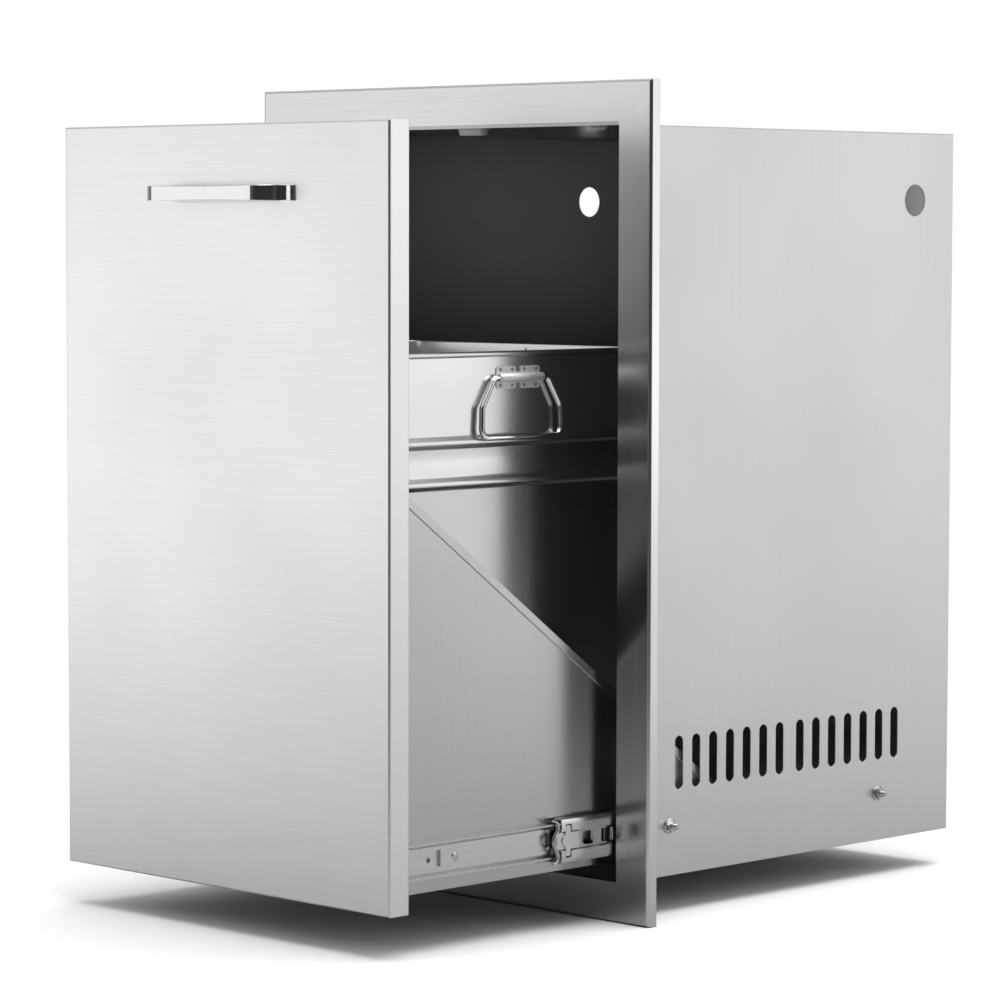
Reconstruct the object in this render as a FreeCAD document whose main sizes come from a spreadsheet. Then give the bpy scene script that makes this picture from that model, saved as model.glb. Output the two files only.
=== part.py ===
import FreeCAD, Part
import math
import os
import re
import Sketcher

# Built-in pull-out bin: a folded sheet box behind a mitred face frame, a door that
# carries a cradle on two ball slides, and a loose bin with two bail handles.
# Origin: underside of the box, mid-width, in the plane of the face frame's rear edge.
# +X right, +Y into the cut-out, +Z up. The drawer stands part open at rest.

doc = FreeCAD.newDocument("PullOutBin")
sheet = doc.addObject("Spreadsheet::Sheet", "Sizes")

SIZES = {
    # box
    "box_half": 189.0, "box_top": 595.6, "box_back": 407.6, "skin": 0.8, "weld_flange": 14.0,
    "roof_flange": 5.0, "back_flange": 12.0, "flange_front": 14.6, "flange_end": 3.0, "flange_gap": 20.0,
    # face frame
    "frame_half": 223.0, "frame_low": -30.0, "frame_top": 630.0, "frame_deep": 10.0, "frame_skin": 1.0,
    "open_low": 1.6, "open_top": 597.6, "frame_bend": 2.4,
    # service holes and vents in the side walls
    "service_rad": 13.45, "service_back": 356.6, "service_up": 539.0,
    "vent_half": 4.9, "vent_low": 68.4, "vent_top": 111.3, "vent_first": 63.3, "vent_second": 211.9,
    "vent_pitch": 20.5, "vent_count": 7, "hole_gap": 0.05,
    # ball slides, counted from the wall inwards and from the slide's middle height
    "slide_up": 40.0, "slide_long": 350.0, "slide_thick": 12.7, "rail_skin": 1.2,
    "outer_start": 15.0, "outer_half": 22.7, "outer_flange": 11.0, "outer_lip": 20.4,
    "middle_start": -73.3, "middle_half": 17.6, "middle_near": 2.4, "middle_far": 10.4, "middle_web": 4.6,
    "recess_half": 7.6, "recess_slope": 0.8,
    "inner_start": -230.0, "inner_half": 13.35, "inner_near": 7.0,
    "release_hole": 25.0, "release_slot": 33.0, "release_slot_long": 5.0, "release_slot_half": 5.5,
    "window_low": 35.0, "window_top": 45.2, "window_one": -43.6, "window_two": -21.2, "window_long": 13.2,
    "clip_start": -76.5, "clip_long": 29.5, "clip_near": 3.2, "clip_half": 6.4, "clip_ear": 10.0,
    "clip_ear_long": 4.6, "clip_ear_up": 12.0, "clip_nose": 16.2, "clip_fit": 0.2,
    "race_outer": 19.55, "race_inner": 14.875, "ball_outer": 1.9, "ball_inner": 1.5,
    "ball_outer_in": 6.0, "ball_inner_in": 8.6, "ball_pitch": 14.0, "ball_count": 8,
    "cage_skin": 0.6, "cage_strip": 1.0, "cage_gap": 0.2, "cage_outer_near": 1.5, "cage_outer_far": 8.8,
    "cage_inner_near": 6.1, "cage_inner_far": 10.2, "cage_long": 112.0,
    "cage_outer_start": 46.0, "cage_inner_start": -16.6,
    # studs, washers and nuts that hold the slides
    "stud_front": 52.0, "stud_back": 313.0, "stud_rad": 2.5, "stud_head": 4.4, "stud_out": 9.5,
    "washer_rad": 6.25, "washer_thick": 1.0, "washer_gap": 0.15, "nut_corner": 4.62, "nut_thick": 4.0,
    # door
    "door_half": 187.4, "door_low": 3.4, "door_top": 594.2, "door_front": -255.0, "door_thick": 20.0,
    "door_skin": 1.0, "door_bend": 1.6,
    "strike_half": 14.0, "strike_low": 580.0, "strike_top": 590.0, "strike_thick": 1.2,
    # door handle
    "handle_half": 84.0, "handle_up": 541.0, "handle_out": 21.5, "handle_bar": 5.5, "handle_leg": 72.0,
    "handle_leg_thick": 12.0, "handle_foot_thick": 3.0, "handle_high": 12.0, "handle_bend": 18.0,
    "handle_inner": 5.0, "handle_screw": 66.0,
    "bolt_long": 11.0, "bolt_head": 4.5, "bolt_head_thick": 2.4,
    # cradle
    "cradle_skin": 1.2, "cradle_low": 15.5, "cradle_back": 118.0, "cradle_front_top": 322.0,
    "cradle_back_top": 68.5, "cradle_flange": 25.0, "cradle_hem": 7.4, "cradle_lip": 30.0,
    "hem_thick": 1.0, "seam_gap": 2.0, "side_flange_low": 20.5, "side_flange_top": 302.0,
    "rivet_front": -177.0, "rivet_back": 80.0, "rivet_rad": 2.2, "rivet_head": 3.6, "rivet_dome": 1.4,
    "rivet_tail": 1.0, "rivet_tail_rad": 3.0,
    "screw_rad": 2.0, "screw_long": 5.0, "screw_head": 3.6, "screw_dome": 2.0, "screw_side": 162.0,
    "screw_low": 60.0, "screw_pitch": 110.0, "floor_screw_side": 100.0, "floor_screw_up": 16.0,
    # bin
    "bin_half": 142.0, "bin_front": -226.0, "bin_back": 78.0, "bin_low": 17.0, "bin_top": 418.0,
    "bin_skin": 0.8, "bin_corner": 22.0, "bin_rim": 2.3, "bead_out": 3.2,
    "bead_upper": 351.4, "bead_lower": 320.0, "bead_half": 5.8,
    # bails
    "bail_mid": -74.0, "bail_up": 399.6, "bail_rad": 2.3, "bail_drop": 46.0,
    "bail_half": 44.0, "bail_neck": 27.0, "bail_knee": 22.5, "bail_bend": 7.0, "bail_clear": 0.05,
    "bail_taper": 1.0, "bail_lean": 1.4, "barrel_sunk": 0.2,
    "barrel_half": 24.0, "barrel_skin": 0.8, "plate_half": 24.0, "plate_high": 8.75, "plate_thick": 0.8,
    "tab_gap": 2.5, "tab_slot": 4.6, "pin_rad": 1.2, "pin_head": 1.9, "pin_inset": 4.0, "pin_edge": 4.5,
    "pin_up": 6.2, "pin_dome": 0.7, "pin_tail": 0.6,
    # fittings under the roof
    "catch_half": 16.5, "catch_front": 11.6, "catch_deep": 15.0, "catch_high": 5.6,
    "bumper_side": 138.0, "bumper_in": 19.0, "bumper_rad": 8.2, "bumper_high": 3.6,
}
for row, (alias, value) in enumerate(SIZES.items(), start=1):
    sheet.set(f"A{row}", alias)
    sheet.set(f"B{row}", str(value))
    sheet.setAlias(f"B{row}", alias)
doc.recompute()

EXTRA = 1.0  # how far a cutting tool stands past the face it starts from
PLANE_SIGN = {"XY_Plane": 1, "XZ_Plane": -1, "YZ_Plane": 1}  # which way each sketch plane's normal points


def bound(text):
    """The same sum with each size's name pointed at the spreadsheet."""
    return re.sub(r"[a-z][a-z_]+", lambda word: "Sizes." + word.group(0), str(text))


def size(text):
    """The present value of a sum of sizes."""
    return float(sheet.evalExpression(bound(text)))


# ---------------------------------------------------------------- sketches and sheet features
def new_body(label):
    body = doc.addObject("PartDesign::Body", label)
    body.Label = label
    return body


def new_sketch(body, plane, place):
    """An empty sketch on one of the body's own planes, moved to `place` along +X, +Y or +Z."""
    planes = {feature.Role: feature for feature in body.Origin.OriginFeatures}
    sketch = body.newObject("Sketcher::SketchObject", "Outline")
    sketch.AttachmentSupport = (planes[plane], "")
    sketch.MapMode = "FlatFace"
    sign = "-" if PLANE_SIGN[plane] < 0 else ""
    sketch.setExpression("AttachmentOffset.Base.z", f"{sign}({bound(place)})")
    return sketch


def pin_point(sketch, index, end, across, up):
    """Tie a point of the sketch to two sums of sizes."""
    for kind, text in (("DistanceX", across), ("DistanceY", up)):
        number = sketch.addConstraint(Sketcher.Constraint(kind, -1, 1, index, end, size(text)))
        sketch.setExpression(f"Constraints[{number}]", bound(text))


def draw_outline(sketch, corners):
    """A closed outline of straight lines through corners given as pairs of sums."""
    first = sketch.GeometryCount
    spots = [FreeCAD.Vector(size(a), size(b), 0) for a, b in corners]
    count = len(corners)
    for i in range(count):
        sketch.addGeometry(Part.LineSegment(spots[i], spots[(i + 1) % count]))
    for i in range(count):
        sketch.addConstraint(Sketcher.Constraint("Coincident", first + i, 2, first + (i + 1) % count, 1))
        pin_point(sketch, first + i, 1, *corners[i])


def draw_circle(sketch, across, up, radius):
    centre = FreeCAD.Vector(size(across), size(up), 0)
    index = sketch.addGeometry(Part.Circle(centre, FreeCAD.Vector(0, 0, 1), size(radius)))
    pin_point(sketch, index, 3, across, up)
    number = sketch.addConstraint(Sketcher.Constraint("Radius", index, size(radius)))
    sketch.setExpression(f"Constraints[{number}]", bound(radius))


def rectangle(left, right, low, high):
    return [(left, low), (right, low), (right, high), (left, high)]


def fill(body, plane, place, length, *outlines):
    """Pad outlines from `place` towards +X, +Y or +Z."""
    sketch = new_sketch(body, plane, place)
    for corners in outlines:
        draw_outline(sketch, corners)
    pad = body.newObject("PartDesign::Pad", "Pad")
    pad.Profile = sketch
    pad.setExpression("Length", bound(length))
    pad.Reversed = PLANE_SIGN[plane] < 0
    doc.recompute()
    return pad


def cut(body, plane, place, length, outlines=(), circles=()):
    """Cut outlines and circles from `place` towards +X, +Y or +Z."""
    before = body.Shape.Volume
    sketch = new_sketch(body, plane, place)
    for corners in outlines:
        draw_outline(sketch, corners)
    for circle in circles:
        draw_circle(sketch, *circle)
    pocket = body.newObject("PartDesign::Pocket", "Pocket")
    pocket.Profile = sketch
    pocket.setExpression("Length", bound(length))
    pocket.Reversed = PLANE_SIGN[plane] > 0
    doc.recompute()
    assert body.Shape.Volume < before - 1e-6, f"{body.Label}: a pocket cut nothing"
    return pocket


def repeat(body, feature, axis, length, count):
    """Repeat a feature along one of the body's own axes."""
    axes = {item.Role: item for item in body.Origin.OriginFeatures}
    pattern = body.newObject("PartDesign::LinearPattern", "Pattern")
    pattern.Originals = [feature]
    pattern.Direction = (axes[axis], [""])
    pattern.setExpression("Length", bound(length))
    pattern.setExpression("Occurrences", bound(count))
    body.Tip = pattern
    doc.recompute()
    return pattern


def round_edges(body, radius, chosen):
    """Fillet the straight edges of the body's tip whose two ends pass the test."""
    names = []
    solid = body.Tip
    for number, edge in enumerate(solid.Shape.Edges, start=1):
        if len(edge.Vertexes) == 2 and chosen(edge.Vertexes[0].Point, edge.Vertexes[1].Point):
            names.append(f"Edge{number}")
    assert names, f"{body.Label}: no edge to round"
    fillet = body.newObject("PartDesign::Fillet", "Round")
    fillet.Base = (solid, names)
    fillet.setExpression("Radius", bound(radius))
    doc.recompute()
    return fillet


def mirrored(label, source):
    """The left-hand copy of a right-hand piece."""
    copy = doc.addObject("Part::Mirroring", label)
    copy.Source = source
    copy.Base = (0, 0, 0)
    copy.Normal = (1, 0, 0)
    copy.Label = label
    pieces.append(copy)
    return copy


# ---------------------------------------------------------------- primitives
def cylinder(axis, radius, length, across, deep, up):
    """A cylinder from a point towards +X, +Y or +Z."""
    item = doc.addObject("Part::Cylinder", "Cylinder")
    turn = {"x": ((0, 1, 0), 90), "y": ((1, 0, 0), -90), "z": ((0, 0, 1), 0)}[axis]
    item.Placement = FreeCAD.Placement(FreeCAD.Vector(), FreeCAD.Rotation(FreeCAD.Vector(*turn[0]), turn[1]))
    item.setExpression("Radius", bound(radius))
    item.setExpression("Height", bound(length))
    for letter, text in zip("xyz", (across, deep, up)):
        item.setExpression(f"Placement.Base.{letter}", bound(text))
    return item


def block(label, *spans):
    """A box between two sums along each axis."""
    item = doc.addObject("Part::Box", label)
    for letter, side, (low, high) in zip("xyz", ("Length", "Width", "Height"), spans):
        item.setExpression(f"Placement.Base.{letter}", bound(low))
        item.setExpression(side, f"{bound(high)} - ({bound(low)})")
    return item


def joined(items):
    union = doc.addObject("Part::MultiFuse", "Joined")
    union.Shapes = items
    return union


def without(item, tool):
    rest = doc.addObject("Part::Cut", "Rest")
    rest.Base = item
    rest.Tool = tool
    return rest


def group(label, items):
    """Separate solids that share one node."""
    bundle = doc.addObject("Part::Compound", label)
    bundle.Links = items
    bundle.Label = label
    pieces.append(bundle)
    return bundle


pieces = []


# ---------------------------------------------------------------- face frame
def on_edge(*tests):
    """True where both ends of an edge lie on the named planes, given as pairs of axis and place."""
    return lambda a, b: all(abs(getattr(end, axis) - place) < 0.01 for axis, place in tests for end in (a, b))


def make_level_member(label, inside, outside, sign):
    """Top or bottom member: an L folded along X, both ends mitred."""
    body = new_body(label)
    rim = f"{outside} {'-' if sign > 0 else '+'} frame_skin"
    front = "-frame_deep"
    section = [(front, inside), (front, outside), ("0", outside), ("0", rim),
               (f"{front} + frame_skin", rim), (f"{front} + frame_skin", inside)]
    fill(body, "YZ_Plane", "-frame_half", "2 * frame_half", section)
    round_edges(body, "frame_bend", on_edge(("z", size(outside)), ("y", size(front))))
    past = f"frame_half + {EXTRA}"
    ends = [
        [("box_half", inside), ("frame_half", outside), (past, outside), (past, inside)],
        [("-box_half", inside), ("-frame_half", outside), (f"-({past})", outside), (f"-({past})", inside)],
    ]
    cut(body, "XZ_Plane", f"{front} - {EXTRA}", f"frame_deep + 2 * {EXTRA}", ends)
    pieces.append(body)


def make_upright_member():
    """Right member: an L folded along Z, both ends mitred."""
    body = new_body("frame_right")
    front = "-frame_deep"
    rim = "frame_half - frame_skin"
    section = [("box_half", front), ("frame_half", front), ("frame_half", "0"), (rim, "0"),
               (rim, f"{front} + frame_skin"), ("box_half", f"{front} + frame_skin")]
    fill(body, "XY_Plane", "frame_low", "frame_top - frame_low", section)
    round_edges(body, "frame_bend", on_edge(("x", size("frame_half")), ("y", size(front))))
    above, below = f"frame_top + {EXTRA}", f"frame_low - {EXTRA}"
    ends = [
        [("box_half", "open_top"), ("frame_half", "frame_top"), ("frame_half", above), ("box_half", above)],
        [("box_half", "open_low"), ("frame_half", "frame_low"), ("frame_half", below), ("box_half", below)],
    ]
    cut(body, "XZ_Plane", f"{front} - {EXTRA}", f"frame_deep + 2 * {EXTRA}", ends)
    pieces.append(body)
    return body


# ---------------------------------------------------------------- box panels
FOLD = "frame_skin - frame_deep"  # the box starts against the back of the frame's face


def make_side_panel():
    """Side wall with its service hole, stud holes and two groups of vents."""
    body = new_body("side_panel_right")
    inner = "box_half - skin"
    fill(body, "YZ_Plane", inner, "skin", rectangle(FOLD, "box_back", "skin", "box_top - skin"))
    start = f"box_half - skin - {EXTRA}"
    through = f"skin + 2 * {EXTRA}"
    cut(body, "YZ_Plane", start, through, circles=[
        ("service_back", "service_up", "service_rad"),
        ("stud_front", "slide_up", "stud_rad + hole_gap"),
        ("stud_back", "slide_up", "stud_rad + hole_gap")])
    for first in ("vent_first", "vent_second"):
        slot = cut_slot(body, start, through, first)
        repeat(body, slot, "Y_Axis", "vent_pitch * (vent_count - 1)", "vent_count")
    pieces.append(body)
    return body


def make_side_flange():
    """Strip welded to the side wall's front edge, and to the back of the face frame."""
    body = new_body("side_flange_right")
    fill(body, "XZ_Plane", FOLD, "skin",
         rectangle("box_half", "box_half + weld_flange", "skin", "box_top - skin"))
    pieces.append(body)
    return body


def cut_slot(body, place, length, deep):
    """One upright round-ended slot through a side wall."""
    sketch = new_sketch(body, "YZ_Plane", place)
    half, middle = size("vent_half"), size(deep)
    low, high = size("vent_low + vent_half"), size("vent_top - vent_half")
    flat = FreeCAD.Vector(0, 0, 1)
    spot = FreeCAD.Vector
    sketch.addGeometry(Part.LineSegment(spot(middle + half, low, 0), spot(middle + half, high, 0)))
    sketch.addGeometry(Part.ArcOfCircle(Part.Circle(spot(middle, high, 0), flat, half), 0, math.pi))
    sketch.addGeometry(Part.LineSegment(spot(middle - half, high, 0), spot(middle - half, low, 0)))
    sketch.addGeometry(Part.ArcOfCircle(Part.Circle(spot(middle, low, 0), flat, half), math.pi, 2 * math.pi))
    for one, end, two, start in ((0, 2, 1, 1), (1, 2, 2, 1), (2, 2, 3, 1), (3, 2, 0, 1)):
        sketch.addConstraint(Sketcher.Constraint("Tangent", one, end, two, start))
    sketch.addConstraint(Sketcher.Constraint("Vertical", 0))
    pin_point(sketch, 1, 3, deep, "vent_top - vent_half")
    number = sketch.addConstraint(Sketcher.Constraint("DistanceY", -1, 1, 3, 3, low))
    sketch.setExpression(f"Constraints[{number}]", bound("vent_low + vent_half"))
    number = sketch.addConstraint(Sketcher.Constraint("Radius", 1, half))
    sketch.setExpression(f"Constraints[{number}]", bound("vent_half"))
    pocket = body.newObject("PartDesign::Pocket", "Slot")
    pocket.Profile = sketch
    pocket.setExpression("Length", bound(length))
    pocket.Reversed = True
    doc.recompute()
    return pocket


def make_top_panel():
    """Roof: front flange turned up behind the frame, side flanges turned down inside the walls."""
    body = new_body("top_panel")
    under = "box_top - skin"
    fill(body, "XY_Plane", under, "skin", rectangle("-box_half", "box_half", FOLD, "box_back"))
    fill(body, "XZ_Plane", FOLD, "skin", rectangle("-box_half", "box_half", under, "box_top + weld_flange"))
    edge = "box_half - skin"
    start, end = "flange_front", "box_back - flange_end"
    fill(body, "XY_Plane", f"{under} - roof_flange", "roof_flange + skin / 2",
         rectangle(f"{edge} - skin", edge, start, end),
         rectangle(f"-({edge})", f"-({edge}) + skin", start, end))
    pieces.append(body)


def make_bottom_panel():
    """Floor of the box with its front flange turned down behind the frame."""
    body = new_body("bottom_panel")
    fill(body, "XY_Plane", "0", "skin", rectangle("-box_half", "box_half", FOLD, "box_back"))
    fill(body, "XZ_Plane", FOLD, "skin", rectangle("-box_half", "box_half", "-weld_flange", "skin"))
    pieces.append(body)


def make_back_panel():
    """Back wall with side flanges welded inside the side walls."""
    body = new_body("back_panel")
    edge = "box_half - skin"
    plate = "box_back - skin"
    fill(body, "XZ_Plane", plate, "skin", rectangle(f"-({edge})", edge, "skin", "box_top - skin"))
    low, high = "skin + flange_gap", "box_top - skin - roof_flange - flange_gap"
    fill(body, "XZ_Plane", f"{plate} - back_flange", "back_flange + skin / 2",
         rectangle(f"{edge} - skin", edge, low, high),
         rectangle(f"-({edge})", f"-({edge}) + skin", low, high))
    pieces.append(body)


def make_catch():
    """Magnet catch under the roof, and two domed bumpers for the door's top corners."""
    body = new_body("door_catch")
    under = "box_top - skin"
    fill(body, "XY_Plane", f"{under} - catch_high", "catch_high",
         rectangle("-catch_half", "catch_half", "catch_front", "catch_front + catch_deep"))
    low = size(f"{under} - catch_high")
    round_edges(body, "catch_high / 2", lambda a, b: abs(a.z - low) < 0.01 < abs(b.z - low)
                or abs(b.z - low) < 0.01 < abs(a.z - low))
    pieces.append(body)
    domes = []
    for side in ("bumper_side", "-bumper_side"):
        dome = doc.addObject("Part::Sphere", "Dome")
        ball = "(bumper_rad^2 + bumper_high^2) / (2 * bumper_high)"
        dome.setExpression("Radius", bound(ball))
        dome.Angle1 = -90
        dome.setExpression("Angle2", f"-asin(({bound(ball)} - Sizes.bumper_high) / ({bound(ball)}))")
        dome.setExpression("Placement.Base.x", bound(side))
        dome.setExpression("Placement.Base.y", bound("bumper_in"))
        dome.setExpression("Placement.Base.z", bound(f"{under} - bumper_high + {ball}"))
        domes.append(dome)
    group("ceiling_bumpers", domes)


# ---------------------------------------------------------------- ball slides
WALL = "box_half - skin"  # inner face of the right wall; slide depths count inwards from it


def section(points):
    """A slide section: depth from the wall and height from the slide's middle, as X and Z."""
    return [(f"{WALL} - ({depth})", f"slide_up + ({up})") for depth, up in points]


def channel(near, far, back, half, skin):
    """A channel section: web from `near` to `back`, flanges out to `far`."""
    return [(near, f"-({half})"), (near, half), (far, half), (far, f"{half} - {skin}"),
            (back, f"{half} - {skin}"), (back, f"-({half}) + {skin}"), (far, f"-({half}) + {skin}"),
            (far, f"-({half})")]


def make_outer_rail():
    """Cabinet member: a channel with lips, with seats for the two stud heads."""
    body = new_body("outer_rail_right")
    half, flange, web, lip = "outer_half", "outer_flange", "rail_skin", "outer_lip"
    points = [("0", f"-{half}"), ("0", half), (flange, half), (flange, lip), (f"{flange} - rail_skin", lip),
              (f"{flange} - rail_skin", f"{half} - rail_skin"), (web, f"{half} - rail_skin"),
              (web, f"-{half} + rail_skin"), (f"{flange} - rail_skin", f"-{half} + rail_skin"),
              (f"{flange} - rail_skin", f"-{lip}"), (flange, f"-{lip}"), (flange, f"-{half}")]
    fill(body, "XZ_Plane", "outer_start", "slide_long", section(points))
    seats = [(deep, "slide_up", "stud_head + hole_gap") for deep in ("stud_front", "stud_back")]
    cut(body, "YZ_Plane", f"{WALL} - rail_skin - {EXTRA}", f"rail_skin + 2 * {EXTRA}", circles=seats)
    pieces.append(body)
    return body


def make_middle_rail():
    """Middle member: raised bands above and below a recess, with two windows and two clip notches."""
    body = new_body("middle_rail_right")
    near, far, half, root = "middle_near", "middle_far", "middle_half", "middle_half - rail_skin"
    inside, web, back = "middle_near + rail_skin", "middle_web", "middle_web + rail_skin"
    upper = [(near, "recess_half"), (near, half), (far, half), (far, root), (inside, root),
             (inside, "recess_half + recess_slope / 2"), (back, "recess_half - recess_slope / 2")]
    lower = [(depth, f"-({up})") for depth, up in reversed(upper)]
    points = [(web, "recess_half - recess_slope")] + upper + lower + [(web, "recess_slope - recess_half")]
    fill(body, "XZ_Plane", "middle_start", "slide_long", section(points))
    through = f"rail_skin + 2 * {EXTRA}"
    windows = [rectangle(first, f"{first} + window_long", "window_low", "window_top")
               for first in ("window_one", "window_two")]
    cut(body, "YZ_Plane", f"{WALL} - ({back}) - {EXTRA}", through, windows)
    start, end = "clip_start + clip_ear - clip_fit", "clip_start + clip_ear + clip_ear_long + clip_fit"
    low, high = "recess_half - recess_slope", "clip_ear_up + clip_fit"
    notches = [rectangle(start, end, f"slide_up + {low}", f"slide_up + {high}"),
               rectangle(start, end, f"slide_up - ({high})", f"slide_up - ({low})")]
    cut(body, "YZ_Plane", f"{WALL} - ({inside}) - {EXTRA}", through, notches)
    pieces.append(body)
    return body


def make_clip():
    """Stamped end clip: a plate in the middle member's recess, two ears in its notches and a turned nose."""
    body = new_body("rail_clip_right")
    ear, rest, end = "clip_start + clip_ear", "clip_start + clip_ear + clip_ear_long", "clip_start + clip_long"
    upper = [("clip_start", "clip_half"), (ear, "clip_half"), (ear, "clip_ear_up"), (rest, "clip_ear_up"),
             (rest, "clip_half"), (end, "clip_half")]
    plate = [(deep, f"slide_up + {up}") for deep, up in upper]
    plate += [(deep, f"slide_up - {up}") for deep, up in reversed(upper)]
    fill(body, "YZ_Plane", f"{WALL} - middle_web", "middle_web - clip_near", plate)
    nose = rectangle(f"{WALL} - middle_web - rail_skin", f"{WALL} - middle_near", "slide_up - clip_nose",
                     "slide_up + clip_nose")
    fill(body, "XZ_Plane", "clip_start", "middle_start - clip_start", nose)
    pieces.append(body)
    return body


def make_inner_rail():
    """Drawer member: a channel open towards the wall, riveted to the cradle."""
    body = new_body("inner_rail_right")
    points = channel("slide_thick", "inner_near", "slide_thick - rail_skin", "inner_half", "rail_skin")
    fill(body, "XZ_Plane", "inner_start", "slide_long", section(points))
    holes = [("rivet_front", "slide_up", "rivet_rad"), ("rivet_back", "slide_up", "rivet_rad"),
             ("inner_start + release_hole", "slide_up", "rivet_rad")]
    start, through = f"{WALL} - slide_thick - {EXTRA}", f"rail_skin + 2 * {EXTRA}"
    cut(body, "YZ_Plane", start, through, circles=holes)
    slot = rectangle("inner_start + release_slot", "inner_start + release_slot + release_slot_long",
                     "slide_up - release_slot_half", "slide_up + release_slot_half")
    cut(body, "YZ_Plane", start, through, [slot])
    pieces.append(body)
    return body


def make_cage(label, near, far, race, start, ball_in, ball):
    """Ball cage: a thin channel whose flanges are pierced for the balls."""
    body = new_body(label)
    half = f"({race} + cage_strip / 2)"
    points = channel(near, far, f"{near} + cage_skin", half, "cage_strip")
    fill(body, "XZ_Plane", start, "cage_long", section(points))
    holes = cut(body, "XY_Plane", f"slide_up - {half} - {EXTRA}", f"2 * {half} + 2 * {EXTRA}",
                circles=[(f"{WALL} - {ball_in}", f"{start} + ball_pitch / 2", f"{ball} + cage_gap")])
    repeat(body, holes, "Y_Axis", "ball_pitch * (ball_count - 1)", "ball_count")
    pieces.append(body)
    return body


def make_balls(label, side, race, start, ball_in, ball):
    """Two rows of balls, one above and one below."""
    balls = []
    for number in range(int(SIZES["ball_count"])):
        for up in ("+", "-"):
            item = doc.addObject("Part::Sphere", "Ball")
            item.setExpression("Radius", bound(ball))
            item.setExpression("Placement.Base.x", bound(f"{side} * ({WALL} - {ball_in})"))
            item.setExpression("Placement.Base.y", bound(f"{start} + ball_pitch * {number + 0.5}"))
            item.setExpression("Placement.Base.z", bound(f"slide_up {up} {race}"))
            balls.append(item)
    group(label, balls)


def make_slides():
    mirrored("outer_rail_left", make_outer_rail())
    mirrored("middle_rail_left", make_middle_rail())
    mirrored("rail_clip_left", make_clip())
    mirrored("inner_rail_left", make_inner_rail())
    outer = ("race_outer", "cage_outer_start", "ball_outer_in", "ball_outer")
    inner = ("race_inner", "cage_inner_start", "ball_inner_in", "ball_inner")
    wide = make_cage("outer_cage_right", "cage_outer_near", "cage_outer_far", *outer)
    narrow = make_cage("inner_cage_right", "cage_inner_near", "cage_inner_far", *inner)
    mirrored("outer_cage_left", wide)
    mirrored("inner_cage_left", narrow)
    for name, side in (("right", 1), ("left", -1)):
        make_balls(f"outer_balls_{name}", side, *outer)
        make_balls(f"inner_balls_{name}", side, *inner)


def stack(side, deep, up, *steps):
    """Round steps set one on another outwards along X; each has a start, a length and a radius."""
    discs = []
    for start, length, radius in steps:
        low = start if side > 0 else f"-({start}) - ({length})"
        discs.append(cylinder("x", radius, length, low, deep, up))
    return joined(discs) if len(discs) > 1 else discs[0]


def make_stud_sets():
    """Clinch studs through each rail and wall, with a washer and a nut outside."""
    studs, washers, nuts = [], [], []
    spot = f"box_half - {EXTRA}"
    reach = f"washer_thick + nut_thick + 2 * {EXTRA}"
    for side in (1, -1):
        for deep in ("stud_front", "stud_back"):
            studs.append(stack(side, deep, "slide_up", (f"{WALL} - rail_skin", "rail_skin", "stud_head"),
                               (WALL, "skin + stud_out", "stud_rad")))
            ring = stack(side, deep, "slide_up", ("box_half", "washer_thick", "washer_rad"))
            hole = stack(side, deep, "slide_up", (spot, reach, "stud_rad + washer_gap"))
            washers.append(without(ring, hole))
            hexagon = doc.addObject("Part::Prism", "Hexagon")
            hexagon.Polygon = 6
            sideways = FreeCAD.Rotation(FreeCAD.Vector(0, 1, 0), 90)
            hexagon.Placement = FreeCAD.Placement(FreeCAD.Vector(), sideways)
            hexagon.setExpression("Circumradius", bound("nut_corner"))
            hexagon.setExpression("Height", bound("nut_thick"))
            start = "box_half + washer_thick" if side > 0 else "-box_half - washer_thick - nut_thick"
            hexagon.setExpression("Placement.Base.x", bound(start))
            hexagon.setExpression("Placement.Base.y", bound(deep))
            hexagon.setExpression("Placement.Base.z", bound("slide_up"))
            nuts.append(without(hexagon, stack(side, deep, "slide_up", (spot, reach, "stud_rad"))))
    group("slide_studs", studs)
    group("slide_washers", washers)
    group("slide_nuts", nuts)


# ---------------------------------------------------------------- door
DOOR_BACK = "door_front + door_thick"


def make_door_front():
    """Door pan: front sheet with its four edges folded back."""
    body = new_body("door_front")
    fill(body, "XZ_Plane", "door_front", "door_thick",
         rectangle("-door_half", "door_half", "door_low", "door_top"))
    front = SIZES["door_front"]
    round_edges(body, "door_bend", lambda a, b: abs(a.y - front) < 0.01 and abs(b.y - front) < 0.01)
    for fold, start in (("door_skin", "door_skin + door_bend"), ("door_skin + door_bend", "door_skin")):
        inside = rectangle(f"-door_half + {fold}", f"door_half - ({fold})", f"door_low + {fold}",
                           f"door_top - ({fold})")
        cut(body, "XZ_Plane", f"door_front + {start}", "door_thick", [inside])
    screws = [(side, "handle_up", "stud_rad + hole_gap") for side in ("handle_screw", "-handle_screw")]
    cut(body, "XZ_Plane", f"door_front - {EXTRA}", f"door_skin + 2 * {EXTRA}", circles=screws)
    pieces.append(body)


def screw_spots():
    """Where the cradle is screwed to the door."""
    uprights = [(f"{side} * screw_side", f"screw_low + {step} * screw_pitch")
                for side in (1, -1) for step in range(3)]
    return uprights + [(f"{side} * floor_screw_side", "cradle_low + floor_screw_up") for side in (1, -1)]


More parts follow.
